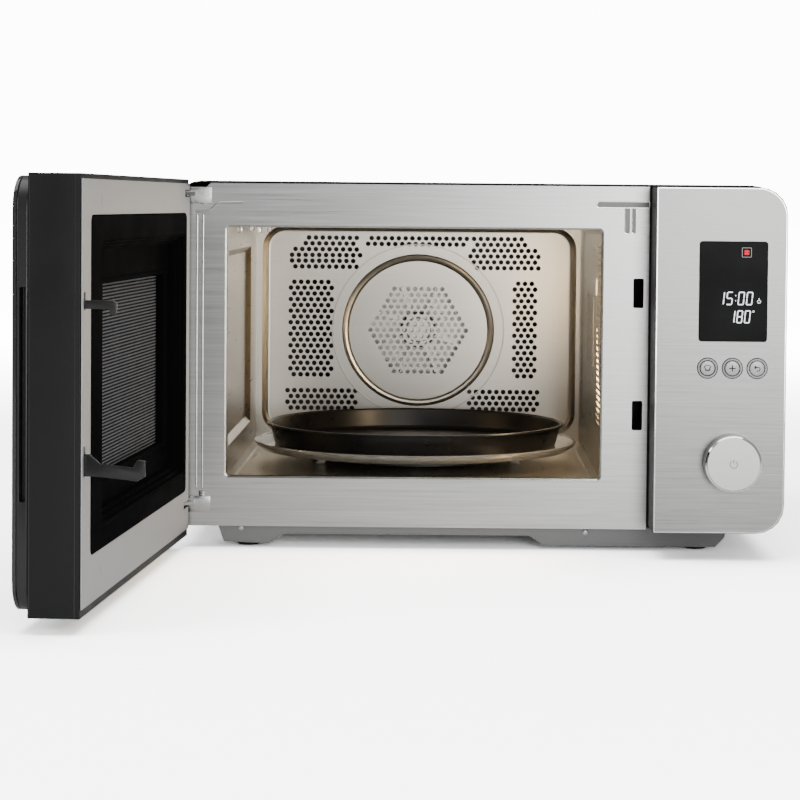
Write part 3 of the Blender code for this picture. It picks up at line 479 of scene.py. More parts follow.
pressed_wall(walls, (in_x0, depth0, in_z0), (0, 1, 0), (1, 0, 0), (0, 0, -1), (wall_len, in_x1 - in_x0),
             (0.010, 0.344, 0.008, open_w - 0.0084), 0.0010, 0.002)
bmesh.ops.remove_doubles(walls, verts=walls.verts[:], dist=0.00002)
thicken(walls, 0.0006)
finish_piece(walls, "cavity_walls", "oven_body", wall_steel, body_seat)

rear_c = Vector(((in_x0 + in_x1) / 2, 0, open_z0 + 0.1198))
HOLE_R, HOLE_P, ROW_P = 0.0027, 0.00739, 0.0063


def circle(x, z, r, y=0.0, sides=48):
    """Points round a circle across Y."""
    turns = [math.tau * k / sides for k in range(sides)]
    return [(x + r * math.cos(t), y, z + r * math.sin(t)) for t in turns]


def field(x0, z0, counts, shifts):
    """Rows of holes from x0, z0 upwards, each with a count and a shift in pitches."""
    return [(rear_c.x + x0 + HOLE_P * (shift + k), rear_c.z + z0 + ROW_P * row)
            for row, (count, shift) in enumerate(zip(counts, shifts)) for k in range(count)]


def lattice(x0, z0, count, rows):
    """A field in which every second row is one hole longer and starts half a pitch sooner."""
    return field(x0, z0, [count + row % 2 for row in range(rows)], [-0.5 * (row % 2) for row in range(rows)])


spots = field(-0.1340, 0.0684, (10, 10, 11, 10, 8, 8), (0, -0.5, -0.5, 0, 1.5, 2))
spots += field(0.0600, 0.0684, (10, 10, 11, 10, 8, 8), (0.5, 0, -0.5, 0, 0.5, 0))
spots += field(-0.0550, 0.0936, (15, 15), (0, 0.5))
spots += lattice(-0.1350, -0.0492, 6, 17) + lattice(0.1085, -0.0492, 3, 17)
spots += lattice(-0.1380, -0.0856, 10, 4) + lattice(0.0600, -0.0856, 10, 4)
hexagon = [(rear_c.x + HOLE_P * (k - (14 - abs(row)) / 2), rear_c.z + 0.0064 * row)
           for row in range(-7, 8) for k in range(15 - abs(row))]
DISC_R, BEAD_R, STEP = 0.0755, 0.0830, 0.0035
panel_x0, panel_x1, panel_z0, panel_z1 = in_x0 + 0.0145, in_x1 - 0.0125, in_z0 + 0.014, in_z1 - 0.009
rear = bmesh.new()
panel_y = depth1 + STEP + 0.0004
# Loops from the wall's edge inwards: grow to the sides and below, grow above, radius, Y.
shapes = ((0.0085, 0.0062, 0.025, depth1), (0.0075, 0.0055, 0.024, depth1), (0.0040, 0.0030, 0.021, depth1 - 0.0016),
          (0.0015, 0.0012, 0.019, depth1 + STEP), (0.0, 0.0, 0.018, panel_y), (-0.001, -0.001, 0.017, panel_y))
wall_loops = [rounded_loop(in_x0, in_x1, in_z0, in_z1, 0.002, depth1, 8)]
wall_loops += [rounded_loop(panel_x0 - grow, panel_x1 + grow, panel_z0 - grow, panel_z1 + above, r, y, 8)
               for grow, above, r, y in shapes]
loops = strip_between(rear, wall_loops)
MARGIN = 0.004
kept = [(x, z) for x, z in spots if panel_x0 + MARGIN < x < panel_x1 - MARGIN
        and panel_z0 + MARGIN < z < panel_z1 - MARGIN and math.hypot(x - rear_c.x, z - rear_c.z) > BEAD_R + MARGIN]
profile = ((BEAD_R, 0.0), (BEAD_R - 0.0006, 0.0), (BEAD_R - 0.0022, -0.0020), (BEAD_R - 0.0038, -0.0026),
           (BEAD_R - 0.0054, -0.0020), (DISC_R, 0.0006), (DISC_R - 0.0006, 0.0006))
bead_loops = strip_between(rear, [circle(rear_c.x, rear_c.z, r, panel_y + rise, 72) for r, rise in profile])
edges = loops[-1] + bead_loops[0]
for x, z in kept:
    edges += loop(rear, circle(x, z, HOLE_R, panel_y, 10))
bmesh.ops.triangle_fill(rear, use_beauty=True, use_dissolve=False, edges=edges, normal=(0, -1, 0))
edges = list(bead_loops[-1])
for x, z in hexagon:
    edges += loop(rear, circle(x, z, HOLE_R, panel_y + 0.0006, 10))
bmesh.ops.triangle_fill(rear, use_beauty=True, use_dissolve=False, edges=edges, normal=(0, -1, 0))
bmesh.ops.remove_doubles(rear, verts=rear.verts[:], dist=0.000005)
thicken(rear, 0.0007)
finish_piece(rear, "cavity_rear_wall", "oven_body", rear_steel, body_seat, ("oven_cavity",))

# ---------------------------------------------------------------------------
# Cavity fittings: a mica sheet over the microwave feed, a lamp behind the grille with a block beside it
# that glows as painted lamp light on its reflector, and four small bright lugs welded under the ceiling.


def coat(node, finish):
    """Gives a CAD piece that is kept as it is a new material."""
    slots = frame["nodes"][node].data.materials
    slots.clear()
    slots.append(finish)


mica = new_finish("pressed_mica_sheet")
flakes = grain(mica, (260, 90, 90), 4)
clouded(mica, flakes, "#8d8474", "#aba291", 0.25, 0.5, Metallic=0.0, IOR=1.55,
        Normal=relief(mica, flakes, 0.0002, 0.5))
eased_copy("waveguide_cover", "oven_body", 0.0001, mica, 1)
sheath = plated_steel("element_sheath_alloy", "#5c554c", "#756d60", 0.42)
lamp_glass = new_finish("frosted_lamp_glass")
bulb = grain(lamp_glass, (120, 120, 120), 2)
surface_of(lamp_glass, Base_Color=linear("#f6ead0"), Emission_Color=between(lamp_glass, bulb, "#ffce7a", "#ffdf9f"),
           Emission_Strength=2.2, Roughness=0.5)
coat("cavity_lamp", lamp_glass)
lugs = bmesh.new()
for x, y in ((-0.2255, 0.060), (-0.2075, 0.060), (-0.2255, 0.190), (-0.2075, 0.190)):
    block(lugs, (x, y, in_z1 - 0.0042), (0.0042, 0.012, 0.0070))
soften(lugs, 0.0008)
finish_piece(lugs, "ceiling_lugs", "oven_body", rim_steel, body_seat)
# The block behind the grille is no lamp: it glows with painted lamp light, the lamp's warm reflection on its foil.
glow = bmesh.new()
block(glow, (in_x1 + 0.0040, 0.052, open_z0 + 0.137), (0.0006, 0.062, 0.182))
reflector_glow_paint = new_finish("reflector_painted_glow")
surface_of(reflector_glow_paint, Base_Color=linear("#e3c17a"), Emission_Strength=1.6, Roughness=0.35,
           Emission_Color=between(reflector_glow_paint, grain(reflector_glow_paint, (90, 90, 30), 3), "#e9b75c", "#ffe0a0"))
finish_piece(glow, "lamp_reflector_painted_glow", "oven_body", reflector_glow_paint, body_seat)

# ---------------------------------------------------------------------------
# Convection unit behind the rear wall: a spun steel drum, a ring heater, a riveted fan
# wheel with a pressed hub, and its motor outside the drum.
coat("convection_housing", plated_steel("aluminised_drum_steel", "#8b8985", "#a4a29e", 0.36))
coat("convection_heater", sheath)
coat("convection_motor", plated_steel("motor_lamination_steel", "#6a6b6c", "#808182", 0.4))
wheel_steel = plated_steel("fan_wheel_steel", "#c0bdb6", "#d6d3cc", 0.25)
coat("convection_fan", wheel_steel)
hub_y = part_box("convection_fan")[0][1] + 0.0006 - face_low[1]
hub = bmesh.new()
hub_line = [(0.0, -0.0002), (0.0040, -0.0002), (0.0050, 0.0016), (0.0125, 0.0022), (0.0140, 0.0008), (0.0170, 0.0008),
            (0.0185, 0.0026), (0.0195, 0.0034)]
spin_line(hub, [(r, h, 0) for r, h in hub_line], (0, 1, 0), 48)
bmesh.ops.remove_doubles(hub, verts=hub.verts[:], dist=0.00001)
thicken(hub, 0.0005)
finish_piece(hub, "fan_wheel_hub", "oven_fan", wheel_steel, body_seat @ Matrix.Translation((rear_c.x, hub_y, rear_c.z)))

# ---------------------------------------------------------------------------
# Turntable: motor and coupler under the floor, a wire roller ring, a tempered glass
# plate, and a black enamelled steel pan with a rolled rim on top.
plate_low, plate_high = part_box("glass_turntable")
pan_low, pan_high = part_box("baking_pan")
axis_x, axis_y = (plate_low[0] + plate_high[0]) / 2, (plate_low[1] + plate_high[1]) / 2
coat("turntable_motor", plated_steel("motor_can_steel", "#a6a7a8", "#bcbdbe", 0.3))
nylon = moulded("white_coupler_nylon", "#d8d6cf", "#e6e4dd", 0.4)
eased_copy("turntable_coupler", "coupler", 0.0004, nylon)
ring_resin = moulded("roller_ring_resin", "#2b2a29", "#363534", 0.45)
eased_copy("roller_ring", "roller_carrier", 0.0003, ring_resin, 1)
for letter, number in zip("abc", "123"):
    eased_copy("roller_" + number, "roller_" + letter, 0.0004, nylon)


def turned(name, body, line_points, finish, centre, stands_for=(), steps=128, along="Z"):
    """A closed profile of (radius, height) spun about a vertical or a front-to-back axis."""
    work = bmesh.new()
    points = [(r, 0, h) if along == "Z" else (r, h, 0) for r, h in line_points]
    spin_line(work, points, (0, 0, 1) if along == "Z" else (0, 1, 0), steps, closed=True)
    bmesh.ops.remove_doubles(work, verts=work.verts[:], dist=0.000005)
    return finish_piece(work, name, body, finish, Matrix.Translation(centre), stands_for)


plate_glass = new_finish("tempered_plate_glass")
swirl = grain(plate_glass, (30, 30, 30), 2)
clouded(plate_glass, swirl, "#dcd7cd", "#e4e0d6", 0.03, 0.09, IOR=1.52, Transmission_Weight=0.82)
r_plate = (plate_high[0] - plate_low[0]) / 2
plate_h = plate_high[2] - plate_low[2]
plate_line = [(0, 0), (r_plate - 0.0105, 0), (r_plate - 0.0080, 0.0005), (r_plate - 0.0016, 0.0050), (r_plate, 0.0078),
              (r_plate - 0.0004, plate_h), (r_plate - 0.0030, plate_h - 0.0002), (r_plate - 0.0075, 0.0062),
              (r_plate - 0.0150, 0.0045), (0, 0.0045)]
turned("glass_plate_spun", "glass_plate", plate_line, plate_glass, (axis_x, axis_y, plate_low[2]), ("glass_turntable",))


def enamel(name, low, high, rough):
    # Vitreous enamel: a fused skin with fine pitting, over steel, dulled by use.
    finish = new_finish(name)
    pits = grain(finish, (420, 420, 420), 2)
    flow = grain(finish, (16, 16, 16), 3)
    return clouded(finish, flow, low, high, rough - 0.04, rough + 0.06, Normal=relief(finish, pits, 0.0001, 0.35),
                   IOR=1.6, Specular_IOR_Level=0.16)


pan_black = enamel("pan_black_enamel", "#0c0b0b", "#121111", 0.3)
r_pan, pan_h = (pan_high[0] - pan_low[0]) / 2, pan_high[2] - pan_low[2]
pan_line = [(0, 0), (r_pan - 0.0105, 0), (r_pan - 0.0082, 0.0008), (r_pan - 0.0070, 0.0028),
            (r_pan - 0.0034, pan_h - 0.0026), (r_pan - 0.0006, pan_h - 0.0024), (r_pan, pan_h - 0.0012),
            (r_pan - 0.0006, pan_h - 0.0001), (r_pan - 0.0022, pan_h), (r_pan - 0.0044, pan_h - 0.0014),
            (r_pan - 0.0052, pan_h - 0.0040), (r_pan - 0.0085, 0.0042), (r_pan - 0.0100, 0.0020),
            (r_pan - 0.0125, 0.0012), (0, 0.0012)]
turned("pan_spun", "pan", pan_line, pan_black, (axis_x, axis_y, pan_low[2]), ("baking_pan",))

# ---------------------------------------------------------------------------
# Power and cooling side, behind the panel: magnetron and waveguide, high-voltage
# transformer and capacitor, cooling fan and filter board. Only vents show them.
coat("magnetron", plated_steel("magnetron_yoke_steel", "#8d8f91", "#a5a7a9", 0.35))
coat("waveguide", plated_steel("waveguide_steel", "#9c9ea0", "#b3b5b7", 0.3))
coat("capacitor", plated_steel("capacitor_can_aluminium", "#b3b4b5", "#c9cacb", 0.28))
coat("transformer", powder_coat("transformer_varnish", "#4a3f34", "#5b4e40", 0.4))
coat("cooling_fan", moulded("fan_blade_nylon", "#2c2d2e", "#383939", 0.45))
coat("cooling_fan_shroud", moulded("shroud_polypropylene", "#303132", "#3b3c3d", 0.5))
coat("cooling_fan_motor", plated_steel("shaded_pole_motor_steel", "#77787a", "#8d8e90", 0.4))
solder_mask = moulded("board_solder_mask", "#12402a", "#1b5236", 0.3)
for board in ("noise_filter_board", "control_board"):
    coat(board, solder_mask)

# ---------------------------------------------------------------------------
# Door latch behind the frame: a black nylon housing with two channels and a safety
# switch beside each one, seen only as darkness through the slots.
latch_nylon = moulded("latch_housing_nylon", "#101010", "#181818", 0.5)
coat("latch_housing", latch_nylon)
for end in ("upper", "lower"):
    coat("interlock_switch_" + end, moulded("switch_phenolic_" + end, "#23262a", "#2e3136", 0.4))

# ---------------------------------------------------------------------------
# Control panel: a black moulded housing behind a brushed steel face that has rounded
# right corners, a display cut-out, three key holes and a polished edge.
panel_low, panel_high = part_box("panel_fascia")
display_low, display_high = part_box("display_window")
key_boxes = [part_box("button_" + n) for n in "123"]
knob_low, knob_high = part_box("knob")
px0, px1, pz0, pz1 = (panel_low[0] - mid_x, panel_high[0] - mid_x, panel_low[2], panel_high[2])
panel_y0 = panel_low[1] - face_low[1]
wx0, wx1, wz0, wz1 = display_low[0] - mid_x, display_high[0] - mid_x, display_low[2], display_high[2]
key_xs = [(lo[0] + hi[0]) / 2 - mid_x for lo, hi in key_boxes]
key_z = (key_boxes[0][0][2] + key_boxes[0][1][2]) / 2
knob_x, knob_z = (knob_low[0] + knob_high[0]) / 2 - mid_x, (knob_low[2] + knob_high[2]) / 2
knob_r = (knob_high[0] - knob_low[0]) / 2
housing_black = moulded("housing_black_abs", "#0a0a0a", "#101010", 0.42)
eased_copy("panel_housing", "oven_body", 0.0005, housing_black, 2)
panel_steel = brushed_steel("brushed_stainless_panel", "#5c5c5b", "#a8a8a7", "X", 0.3, 1100)
FACE_T = panel_high[1] - panel_low[1]
RING_R = 0.0091
holes = [rounded_loop(wx0 - 0.0003, wx1 + 0.0003, wz0 - 0.0003, wz1 + 0.0003, 0.0025, steps=4)]
holes += [circle(x, key_z, RING_R + 0.0003) for x in key_xs]
face_x1, face_z0, face_z1, face_r = px1 - 0.0006, pz0 + 0.0004, pz1 - 0.0004, corner_r + 0.0010
outline = rounded_loop(px0, face_x1, face_z0, face_z1, [0, face_r, face_r, 0], steps=14)
plate = eased(punched_sheet([outline] + holes, FACE_T), 0.00045, 2)
finish_piece(plate, "panel_face_sheet", "oven_body", panel_steel, body_seat @ Matrix.Translation((0, panel_y0, 0)),
             ("panel_fascia",))
# The face is cut with a polished chamfer, which shows as a bright line all round it.
bright = plated_steel("polished_chamfer_steel", "#f0f0ef", "#fafaf9", 0.12)
edge = bmesh.new()
frames = []
for inset, back in ((0.0, 0.0007), (0.0, 0.00025), (0.0005, -0.00002), (0.0011, -0.00002), (0.0012, 0.0003)):
    radii = [0.0008, face_r - inset, face_r - inset, 0.0008]
    frames.append(rounded_loop(px0 + inset, face_x1 - inset, face_z0 + inset, face_z1 - inset, radii,
                               panel_y0 + back, 14))
strip_between(edge, frames)
finish_piece(edge, "panel_chamfer_line", "oven_body", bright, body_seat)

# A black block at the back of the gap between the frame and the panel: painted shade in the gap.
gap_shade = bmesh.new()
block(gap_shade, ((frame_x1 + px0) / 2, 0.0030, (base_z + frame_top) / 2), (0.0050, 0.0012, frame_top - base_z - 0.004))
finish_piece(gap_shade, "panel_gap_shade", "oven_body", moulded("gap_painted_shade_black", "#070707", "#0c0c0c", 0.8), body_seat)

# Display: smoked glass bonded into the face. Its numerals are lit segments on the back
# of the glass, drawn as thin raised bars.
display_glass = new_finish("smoked_display_glass")
smoke = grain(display_glass, (25, 25, 25), 2)
clouded(display_glass, smoke, "#070708", "#0a0a0b", 0.2, 0.28, IOR=1.5, Specular_IOR_Level=0.04)
eased_copy("display_window", "oven_body", 0.0002, display_glass, 2)


def lit(name, colour, strength):
    finish = new_finish(name)
    flicker = grain(finish, (700, 700, 700), 2)
    return surface_of(finish, Base_Color=linear(colour), Emission_Color=linear(colour), Roughness=0.5,
                      Emission_Strength=between(finish, flicker, strength * 0.85, strength))


def bar(work, x0, z0, x1, z1, wide, y, tall=0.0001):
    """A flat bar with pointed ends between two points on a plane across Y."""
    along = Vector((x1 - x0, 0, z1 - z0))
    reach = along.length
    along.normalize()
    side = Vector((-along.z, 0, along.x)) * (wide / 2)
    start, end = Vector((x0, y, z0)), Vector((x1, y, z1))
    tip = along * min(wide / 2, reach / 3)
    ring = [work.verts.new(p) for p in (start, start + tip + side, end - tip + side, end, end - tip - side,
                                        start + tip - side)]
    raise_faces(work, [work.faces.new(ring)], (0, -tall, 0))


def arc(work, x, z, r, start, step, count, wide, y, tall=0.0001):
    """Flat bars round an arc that starts at an angle in degrees."""
    for k in range(count):
        t0, t1 = (math.radians(start + step * n) for n in (k, k + 1))
        bar(work, x + r * math.cos(t0), z + r * math.sin(t0), x + r * math.cos(t1), z + r * math.sin(t1), wide, y, tall)


SEGMENTS = {"0": "abcdef", "1": "bc", "5": "acdfg", "8": "abcdefg"}
display_y = display_low[1] - face_low[1] - 0.0001


def numeral(work, digit, x, z, w, h, wide):
    """One seven-segment digit, its lower left corner at x, z, leaning a little to the right."""
    lean = 0.10
    spots = {"a": (0, 1, 1, 1), "b": (1, 1, 1, 0.5), "c": (1, 0.5, 1, 0), "d": (0, 0, 1, 0), "e": (0, 0.5, 0, 0),
             "f": (0, 1, 0, 0.5), "g": (0, 0.5, 1, 0.5)}
    for name in SEGMENTS[digit]:
        a, b, c, d = spots[name]
        bar(work, x + w * a + lean * h * b, z + h * b, x + w * c + lean * h * d, z + h * d, wide, display_y)


figures = bmesh.new()
time_z, heat_z = wz1 - 0.0570, wz1 - 0.0735
pen = wx0 + 0.0168
for sign in "15:00":
    if sign == ":":
        for dz in (0.0035, 0.0082):
            bar(figures, pen + 0.0003, time_z + dz, pen + 0.0013, time_z + dz, 0.0011, display_y)
        pen += 0.0030
    else:
        numeral(figures, sign, pen, time_z, 0.0048, 0.0112, 0.0010)
        pen += 0.0076
pen = wx0 + 0.0270
for sign in "180":
    numeral(figures, sign, pen, heat_z, 0.0044, 0.0108, 0.0010)
    pen += 0.0070
arc(figures, pen + 0.0012, wz1 - 0.0632, 0.0009, 0, 60, 6, 0.0004, display_y)
arc(figures, wx1 - 0.0072, wz1 - 0.0542, 0.0016, 0, 60, 6, 0.0006, display_y)
bar(figures, wx1 - 0.0072, wz1 - 0.0525, wx1 - 0.0072, wz1 - 0.0510, 0.0006, display_y)
finish_piece(figures, "display_numerals", "oven_body", lit("lit_white_segments", "#f2f6fa", 1.3), body_seat)
mode_x, mode_z = wx0 + 0.0425, wz1 - 0.0095
frame_mark = bmesh.new()
arc(frame_mark, mode_x, mode_z, 0.0042 * math.sqrt(2), -135, 90, 4, 0.0005, display_y)
finish_piece(frame_mark, "mode_mark_frame", "oven_body", lit("lit_grey_outline", "#9a8a8c", 0.7), body_seat)
mode = bmesh.new()
for t in (math.radians(45 + 90 * k) for k in range(4)):
    bar(mode, mode_x, mode_z, mode_x + 0.0030 * math.cos(t), mode_z + 0.0030 * math.sin(t), 0.0010, display_y)
arc(mode, mode_x, mode_z, 0.0021, 0, 45, 8, 0.0009, display_y)
finish_piece(mode, "mode_mark", "oven_body", lit("lit_red_mark", "#d21f2b", 1.0), body_seat)

# Keys: three round brushed caps in bright rings, each printed with a plain mark.
ring_steel = plated_steel("key_ring_steel", "#636465", "#747576", 0.3)
key_cap = brushed_steel("key_cap_stainless", "#9d9d9c", "#b0b0af", "X", 0.42, 1100)
key_y = key_boxes[0][0][1] - face_low[1]
eased_copy("button_bezel", "oven_body", 0.0003, ring_steel, 2)
for k, x in enumerate(key_xs):
    eased_copy(f"button_{k + 1}", f"key_{k + 1}", 0.0005, key_cap, 3)
ink = moulded("dark_grey_print", "#070708", "#0c0c0d", 0.6)
surface_of(ink, Specular_IOR_Level=0.1)
print_y = key_y - 0.00004
# Strokes in millimetres from the middle of the key: a pot, a plus and a return arrow.
strokes = {1: [(-2.1, -2.0, 2.1, -2.0), (-1.9, -2.0, -1.9, 0.2), (1.9, -2.0, 1.9, 0.2), (-1.9, 0.2, -3.0, 0.6),
               (-3.0, 0.6, -2.6, 2.0), (-2.6, 2.0, -1.2, 2.2), (-1.2, 2.2, 0.0, 3.0), (0.0, 3.0, 1.2, 2.2),
               (1.2, 2.2, 2.6, 2.0), (2.6, 2.0, 3.0, 0.6), (3.0, 0.6, 1.9, 0.2)],
           2: [(-3.2, 0, 3.2, 0), (0, -3.2, 0, 3.2)],
           3: [(-2.6, 1.0, 1.6, 1.0), (1.6, 1.0, 2.6, 0.2), (2.6, 0.2, 2.6, -1.2), (2.6, -1.2, 1.4, -2.2),
               (1.4, -2.2, -0.6, -2.2), (-2.6, 1.0, -1.0, 2.6), (-2.6, 1.0, -1.0, -0.6)]}
for number, lines in strokes.items():
    mark = bmesh.new()
    for x0, z0, x1, z1 in lines:
        cx = key_xs[number - 1]
        bar(mark, cx + x0 / 1000, key_z + z0 / 1000, cx + x1 / 1000, key_z + z1 / 1000, 0.0010, print_y, 0.00008)
    finish_piece(mark, f"key_mark_{number}", f"key_{number}", ink, body_seat)

# Knob: a turned aluminium cap, faced with fine turning rings, with a bright chamfer.
knob_metal = new_finish("turned_knob_aluminium")
coords = add_node(knob_metal, "ShaderNodeTexCoord")
knob_world = Vector((mid_x + knob_x, knob_low[1], knob_z))
centred = add_node(knob_metal, "ShaderNodeVectorMath", {0: coords.outputs["Object"], 1: knob_world},
                   operation="SUBTRACT")
spun_out = add_node(knob_metal, "ShaderNodeVectorMath", {0: centred.outputs[0]}, operation="LENGTH")
RINGS = 2600.0  # turning rings per metre of radius
turns = maths(knob_metal, "MULTIPLY", spun_out.outputs["Value"], RINGS)
fine = add_node(knob_metal, "ShaderNodeTexNoise", {"W": turns, "Scale": 1.0, "Detail": 3.0},
                noise_dimensions="1D").outputs[0]
clouded(knob_metal, fine, "#a9a9a8", "#b9b9b8", 0.26, 0.36, Metallic=1.0,
        Normal=relief(knob_metal, fine, 0.00002, 0.4))
knob_face = knob_low[1]
depth = knob_high[1] - knob_face
cap_r = knob_r - 0.0021
knob_line = [(0, 0), (cap_r, 0), (knob_r - 0.0004, 0.0014), (knob_r, 0.0020), (knob_r, depth - 0.0006),
             (knob_r - 0.0006, depth), (0, depth)]
turned("knob_turned", "selector_knob", knob_line, knob_metal, (knob_world.x, knob_face, knob_z), ("knob",),
       96, "Y")
chamfer_line = [(cap_r - 0.0001, -0.00002), (knob_r - 0.0003, 0.0014), (knob_r - 0.0006, 0.0017),
                (cap_r - 0.0003, 0.0004)]
turned("knob_chamfer", "selector_knob", chamfer_line, bright, (knob_world.x, knob_face, knob_z), steps=96, along="Y")
power, power_y = bmesh.new(), knob_face - face_low[1] - 0.00004
arc(power, knob_x, knob_z, 0.0034, 120, 30, 10, 0.0007, power_y, 0.00006)
bar(power, knob_x, knob_z + 0.0008, knob_x, knob_z + 0.0046, 0.0007, power_y, 0.00006)
finish_piece(power, "knob_power_mark", "selector_knob", ink, body_seat)
coat("encoder_shaft", zinc)
coat("encoder", moulded("encoder_body_nylon", "#17181a", "#212224", 0.4))

# ---------------------------------------------------------------------------
# Hinges: bright zinc-plated brackets on the frame, each with a pin that the door turns
# on, low ribbed barrels behind them, and two raised beads down the hinge side.
hinge_zinc = plated_steel("hinge_bright_zinc", "#a5a5a3", "#c0c0be", 0.2)
for end in ("upper", "lower"):
    eased_copy("hinge_bracket_" + end, "oven_body", 0.0005, hinge_zinc, 3)
# The two raised beads are painted lighter than the face sheet, a painted highlight along each.
ridge_highlight_steel = brushed_steel("frame_ridge_painted_highlight", "#c9c9c8", "#dcdcdb", "Z", 0.22)
ridge_line = [(0, 0), (0.0004, 0), (0.0010, 0.0008), (0.0010, 0.2562), (0.0004, 0.2570), (0, 0.2570)]
for side, x in (("outer", -0.2603), ("inner", -0.2548)):
    turned("frame_ridge_" + side, "oven_body", ridge_line, ridge_highlight_steel, body_seat @ Vector((x, 0.0004, 0.0560)),
           steps=16)
BARREL_X = -0.2545
for end, z0, z1 in (("upper", 0.3222, 0.3368), ("lower", 0.0462, 0.0540)):
    tall, line = z1 - z0, [(0, 0)]
    for k in range(5):
        line += [(0.0046, tall * k / 5 + 0.0002), (0.0050, tall * (k + 0.3) / 5), (0.0050, tall * (k + 0.8) / 5)]
    line += [(0.0044, tall), (0, tall)]
    turned(f"hinge_barrel_{end}", "oven_body", line, hinge_zinc, body_seat @ Vector((BARREL_X, 0.0034, z0)), steps=32)
bush = moulded("hinge_bush_black_acetal", "#0a0a0a", "#101010", 0.35)
bush_line = [(0, 0), (0.0052, 0), (0.0060, 0.0010), (0.0060, 0.0050), (0.0054, 0.0058), (0, 0.0058)]
turned("hinge_bush", "oven_body", bush_line, bush, body_seat @ Vector((BARREL_X, 0.0044, 0.0392)), steps=32)

# ---------------------------------------------------------------------------
# Door, made shut and then swung open about its hinge axis: a black moulded body, a
# smoked front glass, a steel inner panel and a choke cover.
DOOR_OPEN = math.radians(94)
pivot = next(joint["pos_m"] for joint in frame["joints"] if joint["name"] == "door_hinge")
door_seat = Matrix.Translation((pivot[0], pivot[1], 0)) @ Matrix.Rotation(-DOOR_OPEN, 4, "Z")
DOOR_IN = 0.010  # hinge axis to the door's inner face
door_l = frame_x1 - 0.0022 + 0.277
door_black = moulded("door_body_black_abs", "#060607", "#0a0a0b", 0.5, 1000, 0.0001)
surface_of(door_black, Specular_IOR_Level=0.3)
eased_copy("door_frame", "door", 0.0010, door_black, 3)
trim_black = moulded("door_trim_black_abs", "#101011", "#171718", 0.35)
eased_copy("door_fascia", "door", 0.0006, trim_black, 2)
front_glass = new_finish("smoked_door_glass")
tint = grain(front_glass, (12, 12, 12), 2)
clouded(front_glass, tint, "#4a4b4d", "#555658", 0.02, 0.05, IOR=1.52, Transmission_Weight=0.75)
eased_copy("door_glass", "door", 0.0008, front_glass, 3)

# Two fine moulded beads down the free edge of the door body, painted a lighter black than the body as a highlight along
# them.
beads = bmesh.new()
for y in (0.0045, -0.0299):
    block(beads, (door_l - 0.0004, y, 0.17875), (0.0010, 0.0006, 0.3305))
soften(beads, 0.0001, 1)
finish_piece(beads, "door_edge_beads", "door", moulded("door_bead_painted_highlight", "#1c1c1d", "#242425", 0.3), door_seat)

# Inner steel panel: 1 mm sheet with the choke window, hinge notches, two hook slots and
# two small slits near the free edge.
panel_in = brushed_steel("door_inner_stainless", "#b9bbbd", "#c2c4c6", "Y", 0.6, 900)
steel_x0, steel_x1, steel_z0, steel_z1 = -0.0045, door_l - 0.0008, base_z - 0.0013, frame_top - 0.0010
outline = [(steel_x0, steel_z0), (steel_x1, steel_z0), (steel_x1, steel_z1), (steel_x0, steel_z1)]
for z in (frame_top - 0.010, base_z + 0.022):
    outline += [(steel_x0, z + 0.0032), (0.0190, z + 0.0032), (0.0190, z - 0.0032), (steel_x0, z - 0.0032)]
outline = [(x, DOOR_IN - 0.001, z) for x, z in outline]
choke_box = (0.013, door_l - 0.029, 0.056, 0.314)
hook_x0 = door_l - 0.0110
holes = [rounded_loop(*choke_box, 0.006)]
holes += [rounded_loop(hook_x0 - 0.0012, hook_x0 + 0.0052, z - 0.0008, z + h + 0.0058, 0.001, steps=3)
          for z, h in ((0.2440, 0.0065), (0.1190, 0.0165))]
holes += [rounded_loop(0.3690, 0.3708, z, z + 0.0075, 0.0008, steps=3) for z in (0.3212, 0.0365)]
holes = [[(x, DOOR_IN - 0.001, z) for x, _, z in points] for points in holes]
inner = eased(punched_sheet([outline] + holes, 0.001), 0.0002, 1)
finish_piece(inner, "door_inner_sheet", "door", panel_in, door_seat, ("door_panel",))

# Choke cover: glossy black moulding with a stepped recess down to the perforated screen.
choke_gloss = moulded("choke_cover_gloss_black", "#0a0a0b", "#0e0e0f", 0.4, 700, 0.000001)
surface_of(choke_gloss, IOR=1.012)
recess = (0.020, door_l - 0.068, 0.075, 0.2925)
window = (0.046, 0.360, 0.105, 0.258)
rim_y = DOOR_IN + 0.0008
choke = bmesh.new()
# Steps of the moulding as inset and depth behind the rim, from its outer edge inwards.
edge_steps = ((0.0004, 0.004), (0.0004, 0.0006), (0.0010, 0.0))
recess_steps = ((-0.0024, 0.0), (-0.0012, 0.0010), (0.0, 0.0012), (0.0006, 0.0046), (0.0030, 0.0050),
                (0.0036, 0.0086), (0.0062, 0.0090), (0.0068, 0.0150), (0.0076, 0.0153))
window_steps = ((-0.0050, 0.0153), (-0.0040, 0.0145), (-0.0012, 0.0145), (0.0, 0.0155), (0.0, 0.0215))
strip_between(choke, [inset_loop(box, inset, radius, rim_y - deep) for box, radius, steps in
                      ((choke_box, 0.0056, edge_steps), (recess, 0.0050, recess_steps), (window, 0.0030, window_steps))
                      for inset, deep in steps])
thicken(choke, 0.0006)
finish_piece(choke, "choke_cover_moulding", "door", choke_gloss, door_seat, ("choke_cover",))

# Door screen: a black painted sheet with fine round holes in rows, bonded to a film; the holes are painted light grey
# for the light seen through them.
screen = new_finish("perforated_screen_black_enamel")
coords = add_node(screen, "ShaderNodeTexCoord")
unswung = add_node(screen, "ShaderNodeMapping", {"Vector": coords.outputs["Object"], "Rotation": (0, 0, DOOR_OPEN)})
parts = add_node(screen, "ShaderNodeSeparateXYZ", {0: unswung.outputs[0]})
HOLE_PITCH = 0.0028
HOLE_REACH = 0.085  # square of a hole's radius, in pitches


def cell(axis):
    """Square of the distance along an axis to the nearest hole centre, in pitches."""
    part = maths(screen, "FRACT", maths(screen, "MULTIPLY", axis, 1 / HOLE_PITCH))
    return maths(screen, "POWER", maths(screen, "SUBTRACT", part, 0.5), 2.0)


